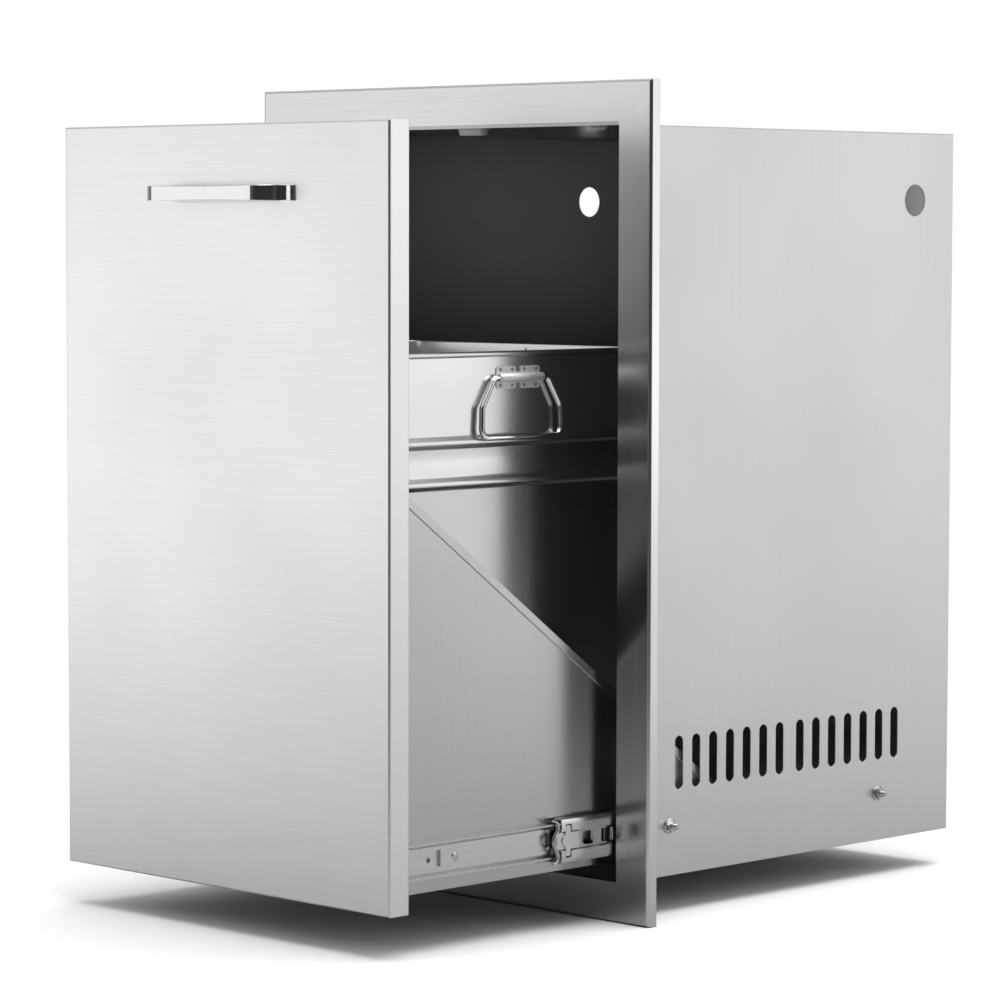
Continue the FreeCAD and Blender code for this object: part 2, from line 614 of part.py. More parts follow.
def make_door_back():
    """Liner that closes the pan, pierced for the cradle's screws."""
    body = new_body("door_back")
    half, low, high = "door_half - door_skin", "door_low + door_skin", "door_top - door_skin"
    fill(body, "XZ_Plane", f"{DOOR_BACK} - door_skin", "door_skin", rectangle(f"-({half})", half, low, high))
    cut(body, "XZ_Plane", f"{DOOR_BACK} - 2 * door_skin", "3 * door_skin",
        circles=[(across, up, "screw_rad + hole_gap") for across, up in screw_spots()])
    pieces.append(body)
    strike = block("catch_strike", ("-strike_half", "strike_half"),
                   (DOOR_BACK, f"{DOOR_BACK} + strike_thick"), ("strike_low", "strike_top"))
    strike.Label = "catch_strike"
    pieces.append(strike)


def make_handle():
    """Bow handle: a bar with wide bends to two legs on outturned feet, screwed on from inside the door."""
    body = new_body("door_handle")
    face = "door_front"
    out = f"{face} - handle_out"
    behind = f"{out} + handle_bar"
    foot = f"{face} - handle_foot_thick"
    leg_inside = "handle_leg - handle_leg_thick"
    right = [("handle_leg", out), ("handle_leg", foot), ("handle_half", foot), ("handle_half", face),
             (leg_inside, face), (leg_inside, behind)]
    outline = right + [(f"-({across})", deep) for across, deep in reversed(right)]
    fill(body, "XY_Plane", "handle_up - handle_high / 2", "handle_high", outline)
    for radius, deep in (("handle_bend", size(out)), ("handle_inner", size(behind))):
        round_edges(body, radius, lambda a, b: abs(a.z - b.z) > 1 and abs(a.y - deep) < 0.01)
    screws = [(f"{side} * handle_screw", "handle_up", "stud_rad") for side in (1, -1)]
    cut(body, "XZ_Plane", f"{face} - bolt_long", f"bolt_long + {EXTRA}", circles=screws)
    pieces.append(body)
    bolts = []
    for side in (1, -1):
        across = f"{side} * handle_screw"
        shank = cylinder("y", "stud_rad", "bolt_long + door_skin", across, f"{face} - bolt_long", "handle_up")
        head = cylinder("y", "bolt_head", "bolt_head_thick", across, f"{face} + door_skin", "handle_up")
        bolts.append(joined([shank, head]))
    group("handle_screws", bolts)


# ---------------------------------------------------------------- cradle
CRADLE_SIDE = "box_half - skin - slide_thick"  # outer face of the cradle's side plate


def make_cradle_side():
    """Side plate: sloping hemmed top edge and a front flange screwed to the door."""
    body = new_body("cradle_side_right")
    inner = f"{CRADLE_SIDE} - cradle_skin"
    back_low, front_high = ("cradle_back", "cradle_back_top"), (DOOR_BACK, "cradle_front_top")
    plate = [(DOOR_BACK, "cradle_low"), ("cradle_back", "cradle_low"), back_low, front_high]
    fill(body, "YZ_Plane", inner, "cradle_skin", plate)
    hem = [(back_low[0], f"{back_low[1]} - cradle_hem"), back_low, front_high,
           (front_high[0], f"{front_high[1]} - cradle_hem")]
    fill(body, "YZ_Plane", CRADLE_SIDE, "hem_thick", hem)
    fill(body, "XZ_Plane", DOOR_BACK, "cradle_skin",
         rectangle(f"{CRADLE_SIDE} - cradle_flange", CRADLE_SIDE, "side_flange_low", "side_flange_top"))
    cut(body, "YZ_Plane", f"{inner} - {EXTRA}", f"cradle_skin + 2 * {EXTRA}",
        circles=[(deep, "slide_up", "rivet_rad") for deep in ("rivet_front", "rivet_back")])
    cut(body, "XZ_Plane", f"{DOOR_BACK} - {EXTRA}", f"cradle_skin + 2 * {EXTRA}",
        circles=[(across, up, "screw_rad + hole_gap") for across, up in screw_spots()[:3]])
    pieces.append(body)
    return body


def make_cradle_floor():
    """Floor under the bin, with a low lip turned up at the back and a flange at the door."""
    body = new_body("cradle_floor")
    half = f"{CRADLE_SIDE} - cradle_skin"
    fill(body, "XY_Plane", "cradle_low", "cradle_skin",
         rectangle(f"-({half})", half, DOOR_BACK, "cradle_back"))
    fill(body, "XZ_Plane", "cradle_back - cradle_skin", "cradle_skin",
         rectangle(f"-({half})", half, "cradle_low", "cradle_low + cradle_lip"))
    edge = f"{CRADLE_SIDE} - cradle_flange - seam_gap"
    fill(body, "XZ_Plane", DOOR_BACK, "cradle_skin",
         rectangle(f"-({edge})", edge, "cradle_low", "cradle_low + cradle_lip"))
    cut(body, "XZ_Plane", f"{DOOR_BACK} - {EXTRA}", f"cradle_skin + 2 * {EXTRA}",
        circles=[(across, up, "screw_rad + hole_gap") for across, up in screw_spots()[6:]])
    pieces.append(body)


def make_cradle_fasteners():
    """Rivets from each inner rail into its plate, and screws from the cradle into the door."""
    rivets, screws = [], []
    for side in (1, -1):
        for deep in ("rivet_front", "rivet_back"):
            rivets.append(stack(side, deep, "slide_up",
                                (f"{CRADLE_SIDE} - cradle_skin - rivet_tail", "rivet_tail", "rivet_tail_rad"),
                                (f"{CRADLE_SIDE} - cradle_skin", "cradle_skin + rail_skin", "rivet_rad"),
                                (f"{CRADLE_SIDE} + rail_skin", "rivet_dome", "rivet_head")))
    for across, up in screw_spots():
        tip = f"{DOOR_BACK} - screw_long"
        shank = cylinder("y", "screw_rad", "screw_long + cradle_skin", across, tip, up)
        head = cylinder("y", "screw_head", "screw_dome", across, f"{DOOR_BACK} + cradle_skin", up)
        screws.append(joined([shank, head]))
    group("rail_rivets", rivets)
    group("cradle_screws", screws)


# ---------------------------------------------------------------- bin
def round_rectangle(inset, height):
    """A wire round the bin's wall, `inset` inside its outer face, at one height."""
    half = size(f"bin_half - ({inset})")
    front, back = size(f"bin_front + ({inset})"), size(f"bin_back - ({inset})")
    corner = size(f"bin_corner - ({inset})")
    spot = FreeCAD.Vector
    edges = []
    centres = [(half - corner, back - corner, 0), (corner - half, back - corner, 90),
               (corner - half, front + corner, 180), (half - corner, front + corner, 270)]
    for number, (across, deep, start) in enumerate(centres):
        circle = Part.Circle(spot(across, deep, height), spot(0, 0, 1), corner)
        arc = Part.ArcOfCircle(circle, math.radians(start), math.radians(start + 90))
        following = centres[(number + 1) % 4]
        angle = math.radians(following[2])
        begin = spot(following[0] + corner * math.cos(angle), following[1] + corner * math.sin(angle), height)
        edges += [arc.toShape(), Part.LineSegment(arc.EndPoint, begin).toShape()]
    return Part.Wire(edges)


def frustum(low_inset, low, high_inset, high):
    """A solid between two round rectangles."""
    return Part.makeLoft([round_rectangle(low_inset, low), round_rectangle(high_inset, high)], True, True)


def with_beads(shape, inset):
    """Add the two beads to a round prism whose faces stand `inset` inside the wall's outer face."""
    out, half = size("bead_out"), size("bead_half")
    for middle in (size("bead_upper"), size("bead_lower")):
        crest = middle - half / 3
        shape = shape.fuse(frustum(inset, middle - half, inset - out, crest))
        shape = shape.fuse(frustum(inset - out, crest, inset, middle + half))
    return shape


def make_bin():
    """Deep-drawn bin: thin wall, two outward beads, and a rolled rim."""
    low, top, skin, rim = size("bin_low"), size("bin_top"), size("bin_skin"), size("bin_rim")
    shell = with_beads(frustum(0, low, 0, top), 0)
    hollow = with_beads(frustum(skin, low + skin, skin, top + 2 * rim), skin)
    # the rolled edge turns outwards from the wall's inner face, eight-sided in section
    sides = 8
    middle = skin - rim
    ring = None
    for step in range(sides // 2):
        angles = [math.pi * (step + k) / (sides // 2) - math.pi / 2 for k in (0, 1)]
        wide = [max(rim * math.cos(angle), skin / 4) for angle in angles]
        up = [top + rim * math.sin(angle) for angle in angles]
        slab = frustum(middle - wide[0], up[0], middle - wide[1], up[1])
        slab = slab.cut(frustum(middle + wide[0], up[0], middle + wide[1], up[1]))
        ring = slab if ring is None else ring.fuse(slab)
    shape = shell.cut(hollow).fuse(ring)
    reach = size("bin_half") + EXTRA
    holes = [Part.makeCylinder(size("pin_rad"), 2 * reach, FreeCAD.Vector(-reach, size(deep), size(up)),
                               FreeCAD.Vector(1, 0, 0)) for deep, up in pin_spots()]
    shape = shape.cut(holes).removeSplitter()
    body = doc.addObject("Part::Feature", "bin_body")
    body.Label = "bin_body"
    assert len(shape.Solids) == 1, "the bin's rim and wall are apart"
    body.Shape = shape.Solids[0]
    body.Placement = FreeCAD.Placement()
    pieces.append(body)


# ---------------------------------------------------------------- bails
def pin_spots():
    """The eight rivets of a hinge plate: two in each of its four tabs."""
    spots = []
    for sign in ("-", "+"):
        for up in ("-", "+"):
            for reach in ("tab_gap + pin_inset", "plate_half - pin_edge"):
                spots.append((f"bail_mid {sign} ({reach})", f"bail_up {up} pin_up"))
    return spots


HINGE_SIDE = "bin_half + plate_thick + bail_rad + bail_clear + barrel_skin - barrel_sunk"  # the bail's axis


def make_hinge_plate():
    """Plate with four riveted tabs and the barrel that holds the bail."""
    face = ("bin_half", "bin_half + plate_thick")
    deep = ("bail_mid - plate_half", "bail_mid + plate_half")
    plate = block("Plate", face, deep, ("bail_up - plate_high", "bail_up + plate_high"))
    barrel = cylinder("y", "bail_rad + bail_clear + barrel_skin", "2 * barrel_half", HINGE_SIDE,
                      "bail_mid - barrel_half", "bail_up")
    bore = cylinder("y", "bail_rad + bail_clear", f"2 * (barrel_half + {EXTRA})", HINGE_SIDE,
                    f"bail_mid - barrel_half - {EXTRA}", "bail_up")
    inside, through = f"bin_half - {EXTRA}", f"plate_thick + 2 * {EXTRA}"
    gap = ("bail_mid - tab_gap", "bail_mid + tab_gap")
    notches = [block("Notch", (inside, f"{inside} + {through}"), gap, span)
               for span in (("bail_up + tab_slot", f"bail_up + plate_high + {EXTRA}"),
                            (f"bail_up - plate_high - {EXTRA}", "bail_up - tab_slot"))]
    holes = [cylinder("x", "pin_rad", through, inside, where, up) for where, up in pin_spots()]
    plate_item = without(joined([plate, barrel]), joined([bore] + notches + holes))
    plate_item.Label = "bail_plate_right"
    pieces.append(plate_item)
    return plate_item


def make_plate_rivets():
    rivets = []
    for side in (1, -1):
        for deep, up in pin_spots():
            rivets.append(stack(side, deep, up, ("bin_half - bin_skin - pin_tail", "pin_tail", "pin_head"),
                                ("bin_half - bin_skin", "bin_skin + plate_thick", "pin_rad"),
                                ("bin_half + plate_thick", "pin_dome", "pin_head")))
    group("plate_rivets", rivets)


def rounded_path(corners, radius):
    """A closed wire of straight runs joined by tangent arcs, starting in the middle of the first run."""
    count = len(corners)
    edges = []
    before = (corners[0] + corners[1]) * 0.5
    begin = before
    for number in range(1, count + 1):
        corner = corners[number % count]
        into = (corner - corners[(number - 1) % count]).normalize()
        onward = (corners[(number + 1) % count] - corner).normalize()
        turn = into.getAngle(onward)
        reach = radius * math.tan(turn / 2)
        first, last = corner - into * reach, corner + onward * reach
        centre = corner + (onward - into).normalize() * (radius / math.cos(turn / 2))
        middle = centre + (corner - centre).normalize() * radius
        edges.append(Part.LineSegment(before, first).toShape())
        edges.append(Part.Arc(first, middle, last).toShape())
        before = last
    edges.append(Part.LineSegment(before, begin).toShape())
    return Part.Wire(edges)


def make_bail():
    """Bail: round wire bent to a closed loop that widens from its hinge and leans out to rest on the bead."""
    side, middle, top = size(HINGE_SIDE), size("bail_mid"), size("bail_up")
    drop, knee, lean = size("bail_drop"), size("bail_knee"), math.radians(size("bail_lean"))
    neck, half, waist = size("bail_neck + bail_rad"), size("bail_half"), size("bail_half - bail_taper")
    right = [(neck, 0), (waist, knee), (half, drop)]
    outline = [(-neck, 0)] + right + [(-half, drop), (-waist, knee)]
    corners = [FreeCAD.Vector(side + down * math.sin(lean), middle + deep, top - down * math.cos(lean))
               for deep, down in outline]
    path = rounded_path(corners, size("bail_bend"))
    wire = size("bail_rad")
    start = (corners[0] + corners[1]) * 0.5
    ring = Part.Wire([Part.makeCircle(wire, start, FreeCAD.Vector(0, 1, 0))])
    bail = doc.addObject("Part::Feature", "bail_right")
    bail.Label = "bail_right"
    bail.Shape = path.makePipeShell([ring], True, False)
    bail.Placement = FreeCAD.Placement()
    expected = math.pi * wire * wire * path.Length
    assert abs(bail.Shape.Volume / expected - 1) < 0.02, "the bail's wire has the wrong volume"
    pieces.append(bail)
    return bail


# ---------------------------------------------------------------- build everything
make_level_member("frame_top", "open_top", "frame_top", 1)
make_level_member("frame_bottom", "open_low", "frame_low", -1)
mirrored("frame_left", make_upright_member())
mirrored("side_panel_left", make_side_panel())
mirrored("side_flange_left", make_side_flange())
make_top_panel()
make_bottom_panel()
make_back_panel()
make_catch()
make_slides()
make_stud_sets()
make_door_front()
make_door_back()
make_handle()
mirrored("cradle_side_left", make_cradle_side())
make_cradle_floor()
make_cradle_fasteners()
make_bin()
mirrored("bail_plate_left", make_hinge_plate())
make_plate_rivets()
mirrored("bail_left", make_bail())
doc.recompute()

for item in doc.Objects:
    assert not {"Invalid", "Error"} & set(item.State), f"{item.Label} failed: {item.State}"
os.makedirs("parts", exist_ok=True)
for item in pieces:
    shape = item.Shape
    assert not shape.isNull() and shape.isValid(), f"{item.Label} has no valid shape"
    shape.exportStep(f"parts/{item.Label}.step")
    print(f"{item.Label:20s} solids {len(shape.Solids):3d}  volume {shape.Volume:12.1f}")
print(len(pieces), "nodes")
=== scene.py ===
import math

import bmesh
import bpy
from mathutils import Matrix, Vector


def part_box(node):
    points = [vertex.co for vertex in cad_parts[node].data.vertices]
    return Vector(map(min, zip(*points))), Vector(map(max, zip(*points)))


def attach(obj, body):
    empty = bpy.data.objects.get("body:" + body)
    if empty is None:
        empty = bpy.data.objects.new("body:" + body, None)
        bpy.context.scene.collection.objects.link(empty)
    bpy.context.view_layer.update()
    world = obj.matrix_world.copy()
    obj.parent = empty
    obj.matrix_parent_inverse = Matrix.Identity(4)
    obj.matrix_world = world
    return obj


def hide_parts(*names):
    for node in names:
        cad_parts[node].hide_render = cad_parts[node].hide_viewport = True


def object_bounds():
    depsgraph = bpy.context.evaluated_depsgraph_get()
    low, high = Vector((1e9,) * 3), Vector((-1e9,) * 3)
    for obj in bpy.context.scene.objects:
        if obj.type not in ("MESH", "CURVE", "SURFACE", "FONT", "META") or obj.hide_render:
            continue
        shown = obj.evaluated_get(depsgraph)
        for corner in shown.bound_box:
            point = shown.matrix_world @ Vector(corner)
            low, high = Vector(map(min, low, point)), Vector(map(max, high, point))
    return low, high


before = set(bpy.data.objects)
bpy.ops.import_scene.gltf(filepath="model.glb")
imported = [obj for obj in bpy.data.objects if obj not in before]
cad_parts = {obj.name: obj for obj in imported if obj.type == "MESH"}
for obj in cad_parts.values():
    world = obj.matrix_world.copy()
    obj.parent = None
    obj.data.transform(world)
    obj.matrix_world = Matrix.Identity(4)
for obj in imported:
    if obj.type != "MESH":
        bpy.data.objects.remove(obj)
cad_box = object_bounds()
MM = 0.001

# ------------------------------------------------------------------ studio
# A pale floor that fades into a white surround, soft boxes at the left front, the right back
# and overhead, and one camera that stands off the right front corner a little above the bin.
scene = bpy.context.scene
scene.view_settings.view_transform = "Standard"
EYE = (2.2694, -2.2471, 0.5128)
YAW, PITCH, ROLL = math.radians(44.643), math.radians(-3.931), math.radians(0.126)
LEVEL = math.radians(90)
ROOM_WHITE, ROOM_COOL = (1.0, 1.0, 1.0, 1), (0.95, 0.975, 1.0, 1)
PAPER_SEEN, PAPER_MIRRORED = (0.96, 0.96, 0.96, 1), (0.42, 0.42, 0.42, 1)
RIGHT_FRONT = (0.7, -0.7, 0)
FLOOR_GAP = 0.5 * MM
FLOOR_REACH = 14.0
FADE_START, FADE_END = 0.65, 1.8

camera = bpy.data.cameras.new("camera")
camera.sensor_width = 36.0
camera.lens = 141.09
camera.clip_end = 60.0
eye = bpy.data.objects.new("camera", camera)
scene.collection.objects.link(eye)
turn = Matrix.Rotation(YAW, 4, "Z") @ Matrix.Rotation(LEVEL + PITCH, 4, "X")
eye.matrix_world = Matrix.Translation(EYE) @ turn @ Matrix.Rotation(ROLL, 4, "Z")
scene.camera = eye


def soft_box(name, place, target, wide, high, watts):
    """A rectangular area light turned towards a point."""
    lamp = bpy.data.lights.new(name, "AREA")
    lamp.shape = "RECTANGLE"
    lamp.size, lamp.size_y = wide, high
    lamp.energy = watts
    item = bpy.data.objects.new(name, lamp)
    item.location = place
    item.rotation_euler = (Vector(target) - Vector(place)).to_track_quat("-Z", "Y").to_euler()
    scene.collection.objects.link(item)


soft_box("front_box", (-2.3, -2.6, 0.95), (0, -0.2, 0.3), 2.6, 2.2, 15)
soft_box("side_box", (2.7, 2.4, 1.25), (0.1, 0.2, 0.4), 3.0, 2.4, 24)
soft_box("top_box", (0.3, 0.1, 2.6), (0, 0, 0.3), 2.4, 2.4, 78)
soft_box("rear_box", (-2.2, 2.6, 1.2), (0, 0.2, 0.3), 2.0, 1.6, 12)


def node(tree, kind, **settings):
    """A node with its settings; a key that names an input socket sets that input's value."""
    item = tree.nodes.new("ShaderNode" + kind)
    for key, value in settings.items():
        if hasattr(item, key):
            setattr(item, key, value)
        else:
            item.inputs[key.replace("_", " ")].default_value = value
    return item


surround = bpy.data.worlds.new("surround")
scene.world = surround
surround.use_nodes = True
room = surround.node_tree
room.nodes.clear()
heading = node(room, "TexCoord")
ray = node(room, "LightPath")
white = node(room, "Background", Color=ROOM_WHITE, Strength=1.0)
dim = node(room, "Background", Color=ROOM_COOL)
mix = node(room, "MixShader")
out = node(room, "OutputWorld")


def glow_towards(direction, start, end, low, high):
    """How bright the room is as a ray turns towards a direction."""
    facing = node(room, "VectorMath", operation="DOT_PRODUCT")
    facing.inputs[1].default_value = direction
    room.links.new(heading.outputs["Generated"], facing.inputs[0])
    ramp = node(room, "MapRange", interpolation_type="SMOOTHSTEP", From_Min=start, From_Max=end,
                To_Min=low, To_Max=high)
    room.links.new(facing.outputs["Value"], ramp.inputs["Value"])
    return ramp.outputs["Result"]


total = node(room, "Math")
room.links.new(glow_towards((0, 0, 1), 0.25, 0.8, 0.0, 0.62), total.inputs[0])
room.links.new(glow_towards((-0.7, 0.7, 0), -0.8, 0.1, 0.035, 0.22), total.inputs[1])
room.links.new(total.outputs[0], dim.inputs["Strength"])
room.links.new(ray.outputs["Is Camera Ray"], mix.inputs["Fac"])
room.links.new(dim.outputs[0], mix.inputs[1])
room.links.new(white.outputs[0], mix.inputs[2])
room.links.new(mix.outputs[0], out.inputs["Surface"])

floor_mesh = bpy.data.meshes.new("floor")
height = cad_box[0].z - FLOOR_GAP
corners = [(x * FLOOR_REACH, y * FLOOR_REACH, height) for x, y in ((-1, -1), (1, -1), (1, 1), (-1, 1))]
floor_mesh.from_pydata(corners, [], [(0, 1, 2, 3)])
floor = bpy.data.objects.new("floor", floor_mesh)
scene.collection.objects.link(floor)
paper = bpy.data.materials.new("studio_floor")
paper.use_nodes = True
ground = paper.node_tree
link = ground.links.new
ground.nodes.clear()
spot = node(ground, "TexCoord")
ray = node(ground, "LightPath")
tone = node(ground, "Mix", data_type="RGBA")
tone.inputs[6].default_value = PAPER_MIRRORED
tone.inputs[7].default_value = PAPER_SEEN
matte = node(ground, "BsdfDiffuse")
link(ray.outputs["Is Camera Ray"], tone.inputs[0])
link(tone.outputs[2], matte.inputs["Color"])
reach = node(ground, "VectorMath", operation="LENGTH")
fade = node(ground, "MapRange", From_Min=FADE_START, From_Max=FADE_END)
link(spot.outputs["Object"], reach.inputs[0])
link(reach.outputs["Value"], fade.inputs["Value"])
side = node(ground, "VectorMath", operation="DOT_PRODUCT")
side.inputs[1].default_value = RIGHT_FRONT
unlit = node(ground, "MapRange", interpolation_type="SMOOTHSTEP", From_Min=0.1, From_Max=1.1, To_Min=1.05,
             To_Max=0.08)
link(spot.outputs["Object"], side.inputs[0])
link(side.outputs["Value"], unlit.inputs["Value"])
strength = node(ground, "Mix")
strength.inputs[3].default_value = 1.0
link(ray.outputs["Is Camera Ray"], strength.inputs[0])
link(unlit.outputs["Result"], strength.inputs[2])
glow = node(ground, "Emission")
link(strength.outputs[0], glow.inputs["Strength"])
mix = node(ground, "MixShader")
out = node(ground, "OutputMaterial")
link(fade.outputs["Result"], mix.inputs["Fac"])
link(matte.outputs[0], mix.inputs[1])
link(glow.outputs[0], mix.inputs[2])
link(mix.outputs[0], out.inputs["Surface"])
floor_mesh.materials.append(paper)

# ------------------------------------------------------------------ face frame
# Four folded stainless members, mitred and welded at the corners, ground flush and then
# brushed along their length, so the grain turns at each mitre.
def group_sockets(name, inputs, outputs):
    """An empty shader group with named sockets, and its input and output nodes."""
    made = bpy.data.node_groups.new(name, "ShaderNodeTree")
    for label, kind, value in inputs:
        socket = made.interface.new_socket(label, in_out="INPUT", socket_type="NodeSocket" + kind)
        if value is not None:
            socket.default_value = value
    for label, kind in outputs:
        made.interface.new_socket(label, in_out="OUTPUT", socket_type="NodeSocket" + kind)
    return made, made.nodes.new("NodeGroupInput"), made.nodes.new("NodeGroupOutput")


def make_grain_group():
    """Grinding or rolling lines: fine and coarse streaks, a few long scratches, slow patches and dents."""
    made, given, result = group_sockets("steel_grain", (
        ("Place", "Vector", None), ("Stretch", "Vector", (1, 1, 1)), ("Fine", "Float", 1300.0),
        ("Light", "Color", (0.7, 0.7, 0.7, 1)), ("Dark", "Color", (0.6, 0.6, 0.6, 1)),
        ("Smooth", "Float", 0.28), ("Rough", "Float", 0.42), ("Ripple", "Float", 0.1),
    ), (("Colour", "Color"), ("Roughness", "Float"), ("Height", "Float")))
    link = made.links.new
    along = node(made, "VectorMath", operation="MULTIPLY")
    link(given.outputs["Place"], along.inputs[0])
    link(given.outputs["Stretch"], along.inputs[1])
    fine = node(made, "TexNoise", Detail=3.0, Roughness=0.6)
    link(along.outputs[0], fine.inputs["Vector"])
    link(given.outputs["Fine"], fine.inputs["Scale"])
    third = node(made, "Math", operation="MULTIPLY")
    third.inputs[1].default_value = 0.27
    link(given.outputs["Fine"], third.inputs[0])
    coarse = node(made, "TexNoise", Detail=2.0, Roughness=0.5)
    link(along.outputs[0], coarse.inputs["Vector"])
    link(third.outputs[0], coarse.inputs["Scale"])
    both = node(made, "Mix", data_type="FLOAT")
    both.inputs[0].default_value = 0.28
    link(fine.outputs[0], both.inputs[2])
    link(coarse.outputs[0], both.inputs[3])
    patches = node(made, "TexNoise", Scale=5.0, Detail=2.0, Roughness=0.5)
    link(given.outputs["Place"], patches.inputs["Vector"])
    scratch = node(made, "TexNoise", Detail=1.0, Scale=520.0)
    slow = node(made, "VectorMath", operation="MULTIPLY")
    slow.inputs[1].default_value = (0.45, 0.45, 0.45)
    link(along.outputs[0], slow.inputs[0])
    link(slow.outputs[0], scratch.inputs["Vector"])
    rare = node(made, "MapRange", From_Min=0.66, From_Max=0.74)
    link(scratch.outputs[0], rare.inputs["Value"])
    tone = node(made, "MapRange", From_Min=0.3, From_Max=0.7)
    link(both.outputs[0], tone.inputs["Value"])
    colour = node(made, "Mix", data_type="RGBA")
    link(tone.outputs[0], colour.inputs[0])
    link(given.outputs["Dark"], colour.inputs[6])
    link(given.outputs["Light"], colour.inputs[7])
    link(colour.outputs[2], result.inputs["Colour"])
    uneven = node(made, "Math", operation="ADD", use_clamp=True)
    link(both.outputs[0], uneven.inputs[0])
    shift = node(made, "MapRange", From_Min=0.3, From_Max=0.7, To_Min=-0.25, To_Max=0.25)
    link(patches.outputs[0], shift.inputs["Value"])
    link(shift.outputs[0], uneven.inputs[1])
    rough = node(made, "Mix", data_type="FLOAT")
    link(uneven.outputs[0], rough.inputs[0])
    link(given.outputs["Smooth"], rough.inputs[2])
    link(given.outputs["Rough"], rough.inputs[3])
    link(rough.outputs[0], result.inputs["Roughness"])
    dent = node(made, "Math", operation="MULTIPLY")
    link(patches.outputs[0], dent.inputs[0])
    link(given.outputs["Ripple"], dent.inputs[1])
    cut = node(made, "Math", operation="MULTIPLY_ADD")
    cut.inputs[1].default_value = -0.006
    link(rare.outputs[0], cut.inputs[0])
    link(dent.outputs[0], cut.inputs[2])
    line = node(made, "Math", operation="MULTIPLY_ADD")
    line.inputs[1].default_value = 0.004
    link(both.outputs[0], line.inputs[0])
    link(cut.outputs[0], line.inputs[2])
    link(line.outputs[0], result.inputs["Height"])
    return made


steel_grain = make_grain_group()


def steel(name, grain, light, dark, smooth, rough, fine=1300.0, ripple=0.1, edge=0.4, lines=0.6):
    """Bare sheet steel: grain is the stretch of its lines, edge the rounding in mm that light finds."""
    made = bpy.data.materials.new(name)
    made.use_nodes = True
    tree = made.node_tree
    link = tree.links.new
    shader = tree.nodes["Principled BSDF"]
    shader.inputs["Metallic"].default_value = 1.0
    place = node(tree, "TexCoord")
    lines_of = node(tree, "Group", node_tree=steel_grain)
    for key, value in (("Stretch", grain), ("Fine", fine), ("Light", (*light, 1)), ("Dark", (*dark, 1)),
                       ("Smooth", smooth), ("Rough", rough), ("Ripple", ripple)):
        lines_of.inputs[key].default_value = value
    link(place.outputs["Object"], lines_of.inputs["Place"])
    corner = node(tree, "Bevel", samples=4, Radius=edge * MM)
    bump = node(tree, "Bump", Strength=lines, Distance=MM)
    link(corner.outputs[0], bump.inputs["Normal"])
    link(lines_of.outputs["Height"], bump.inputs["Height"])
    link(lines_of.outputs["Colour"], shader.inputs["Base Color"])
    link(lines_of.outputs["Roughness"], shader.inputs["Roughness"])
    link(bump.outputs[0], shader.inputs["Normal"])
    return made


def dress(material, *names):
    """Give CAD nodes a material."""
    for name in names:
        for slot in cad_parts[name].material_slots:
            slot.material = material


ALONG_X, ALONG_Y, ALONG_Z = (0.012, 1, 1), (1, 0.012, 1), (1, 1, 0.012)
for run, grain, members in (("level", ALONG_X, ("frame_top", "frame_bottom")),
                            ("upright", ALONG_Z, ("frame_right", "frame_left"))):
    frame_steel = steel(f"frame_steel_{run}", grain, (0.68, 0.68, 0.68), (0.60, 0.60, 0.60), 0.17, 0.27,
                        edge=0.2)
    dress(frame_steel, *members)

# ------------------------------------------------------------------ box behind the frame
# Walls, roof, floor and back of 0.8 mm cold-rolled stainless with its mill grain upright,
# spot-welded at their flanges. The surface is duller than the brushed front.
box_steel = steel("box_steel", ALONG_Z, (0.62, 0.62, 0.62), (0.58, 0.58, 0.58), 0.36, 0.46, fine=1500.0,
                  ripple=0.10, lines=0.4)
# The left wall, back and roof are the same sheet as the other walls; their darker colour is painted shade for
# the inside of the cabinet.
shaded_box_steel = steel("shaded_box_steel", ALONG_X, (0.44, 0.44, 0.44), (0.40, 0.40, 0.40), 0.16, 0.26, fine=1300.0,
                     ripple=0.10, lines=0.4)
dress(box_steel, "side_panel_right", "side_flange_right", "side_flange_left", "bottom_panel")
dress(shaded_box_steel, "side_panel_left", "back_panel", "top_panel")

# ------------------------------------------------------------------ ball slides
# Roll-formed members in bright zinc-plated steel. The drawer member is a channel whose flanges
# carry a ball groove; the middle member has raised bands round a recess.
zinc = steel("zinc_steel", ALONG_Y, (0.66, 0.665, 0.67), (0.54, 0.545, 0.55), 0.13, 0.24, fine=700.0,
             ripple=0.05, edge=0.25, lines=0.35)
hard_steel = steel("ball_steel", (1, 1, 1), (0.78, 0.78, 0.8), (0.72, 0.72, 0.74), 0.06, 0.12, edge=0.1,
                   lines=0.05)


def skin_loops(name, loops, cap=True):
    """A mesh through closed loops with the same count of points; the ends are capped with one face each."""
    count = len(loops[0])
    points = [tuple(point) for loop in loops for point in loop]
    faces = []
    for row in range(len(loops) - 1):
        low, high = row * count, (row + 1) * count
        faces += [(low + i, low + (i + 1) % count, high + (i + 1) % count, high + i) for i in range(count)]
    if cap:
        faces.append(tuple(reversed(range(count))))
        faces.append(tuple(range((len(loops) - 1) * count, len(loops) * count)))
    mesh = bpy.data.meshes.new(name)
    mesh.from_pydata(points, [], faces)
    mesh.validate()
    return mesh


def facing_out(mesh):
    """Turn every face outwards."""
    work = bmesh.new()
    work.from_mesh(mesh)
    bmesh.ops.recalc_face_normals(work, faces=work.faces)
    work.to_mesh(mesh)
    work.free()


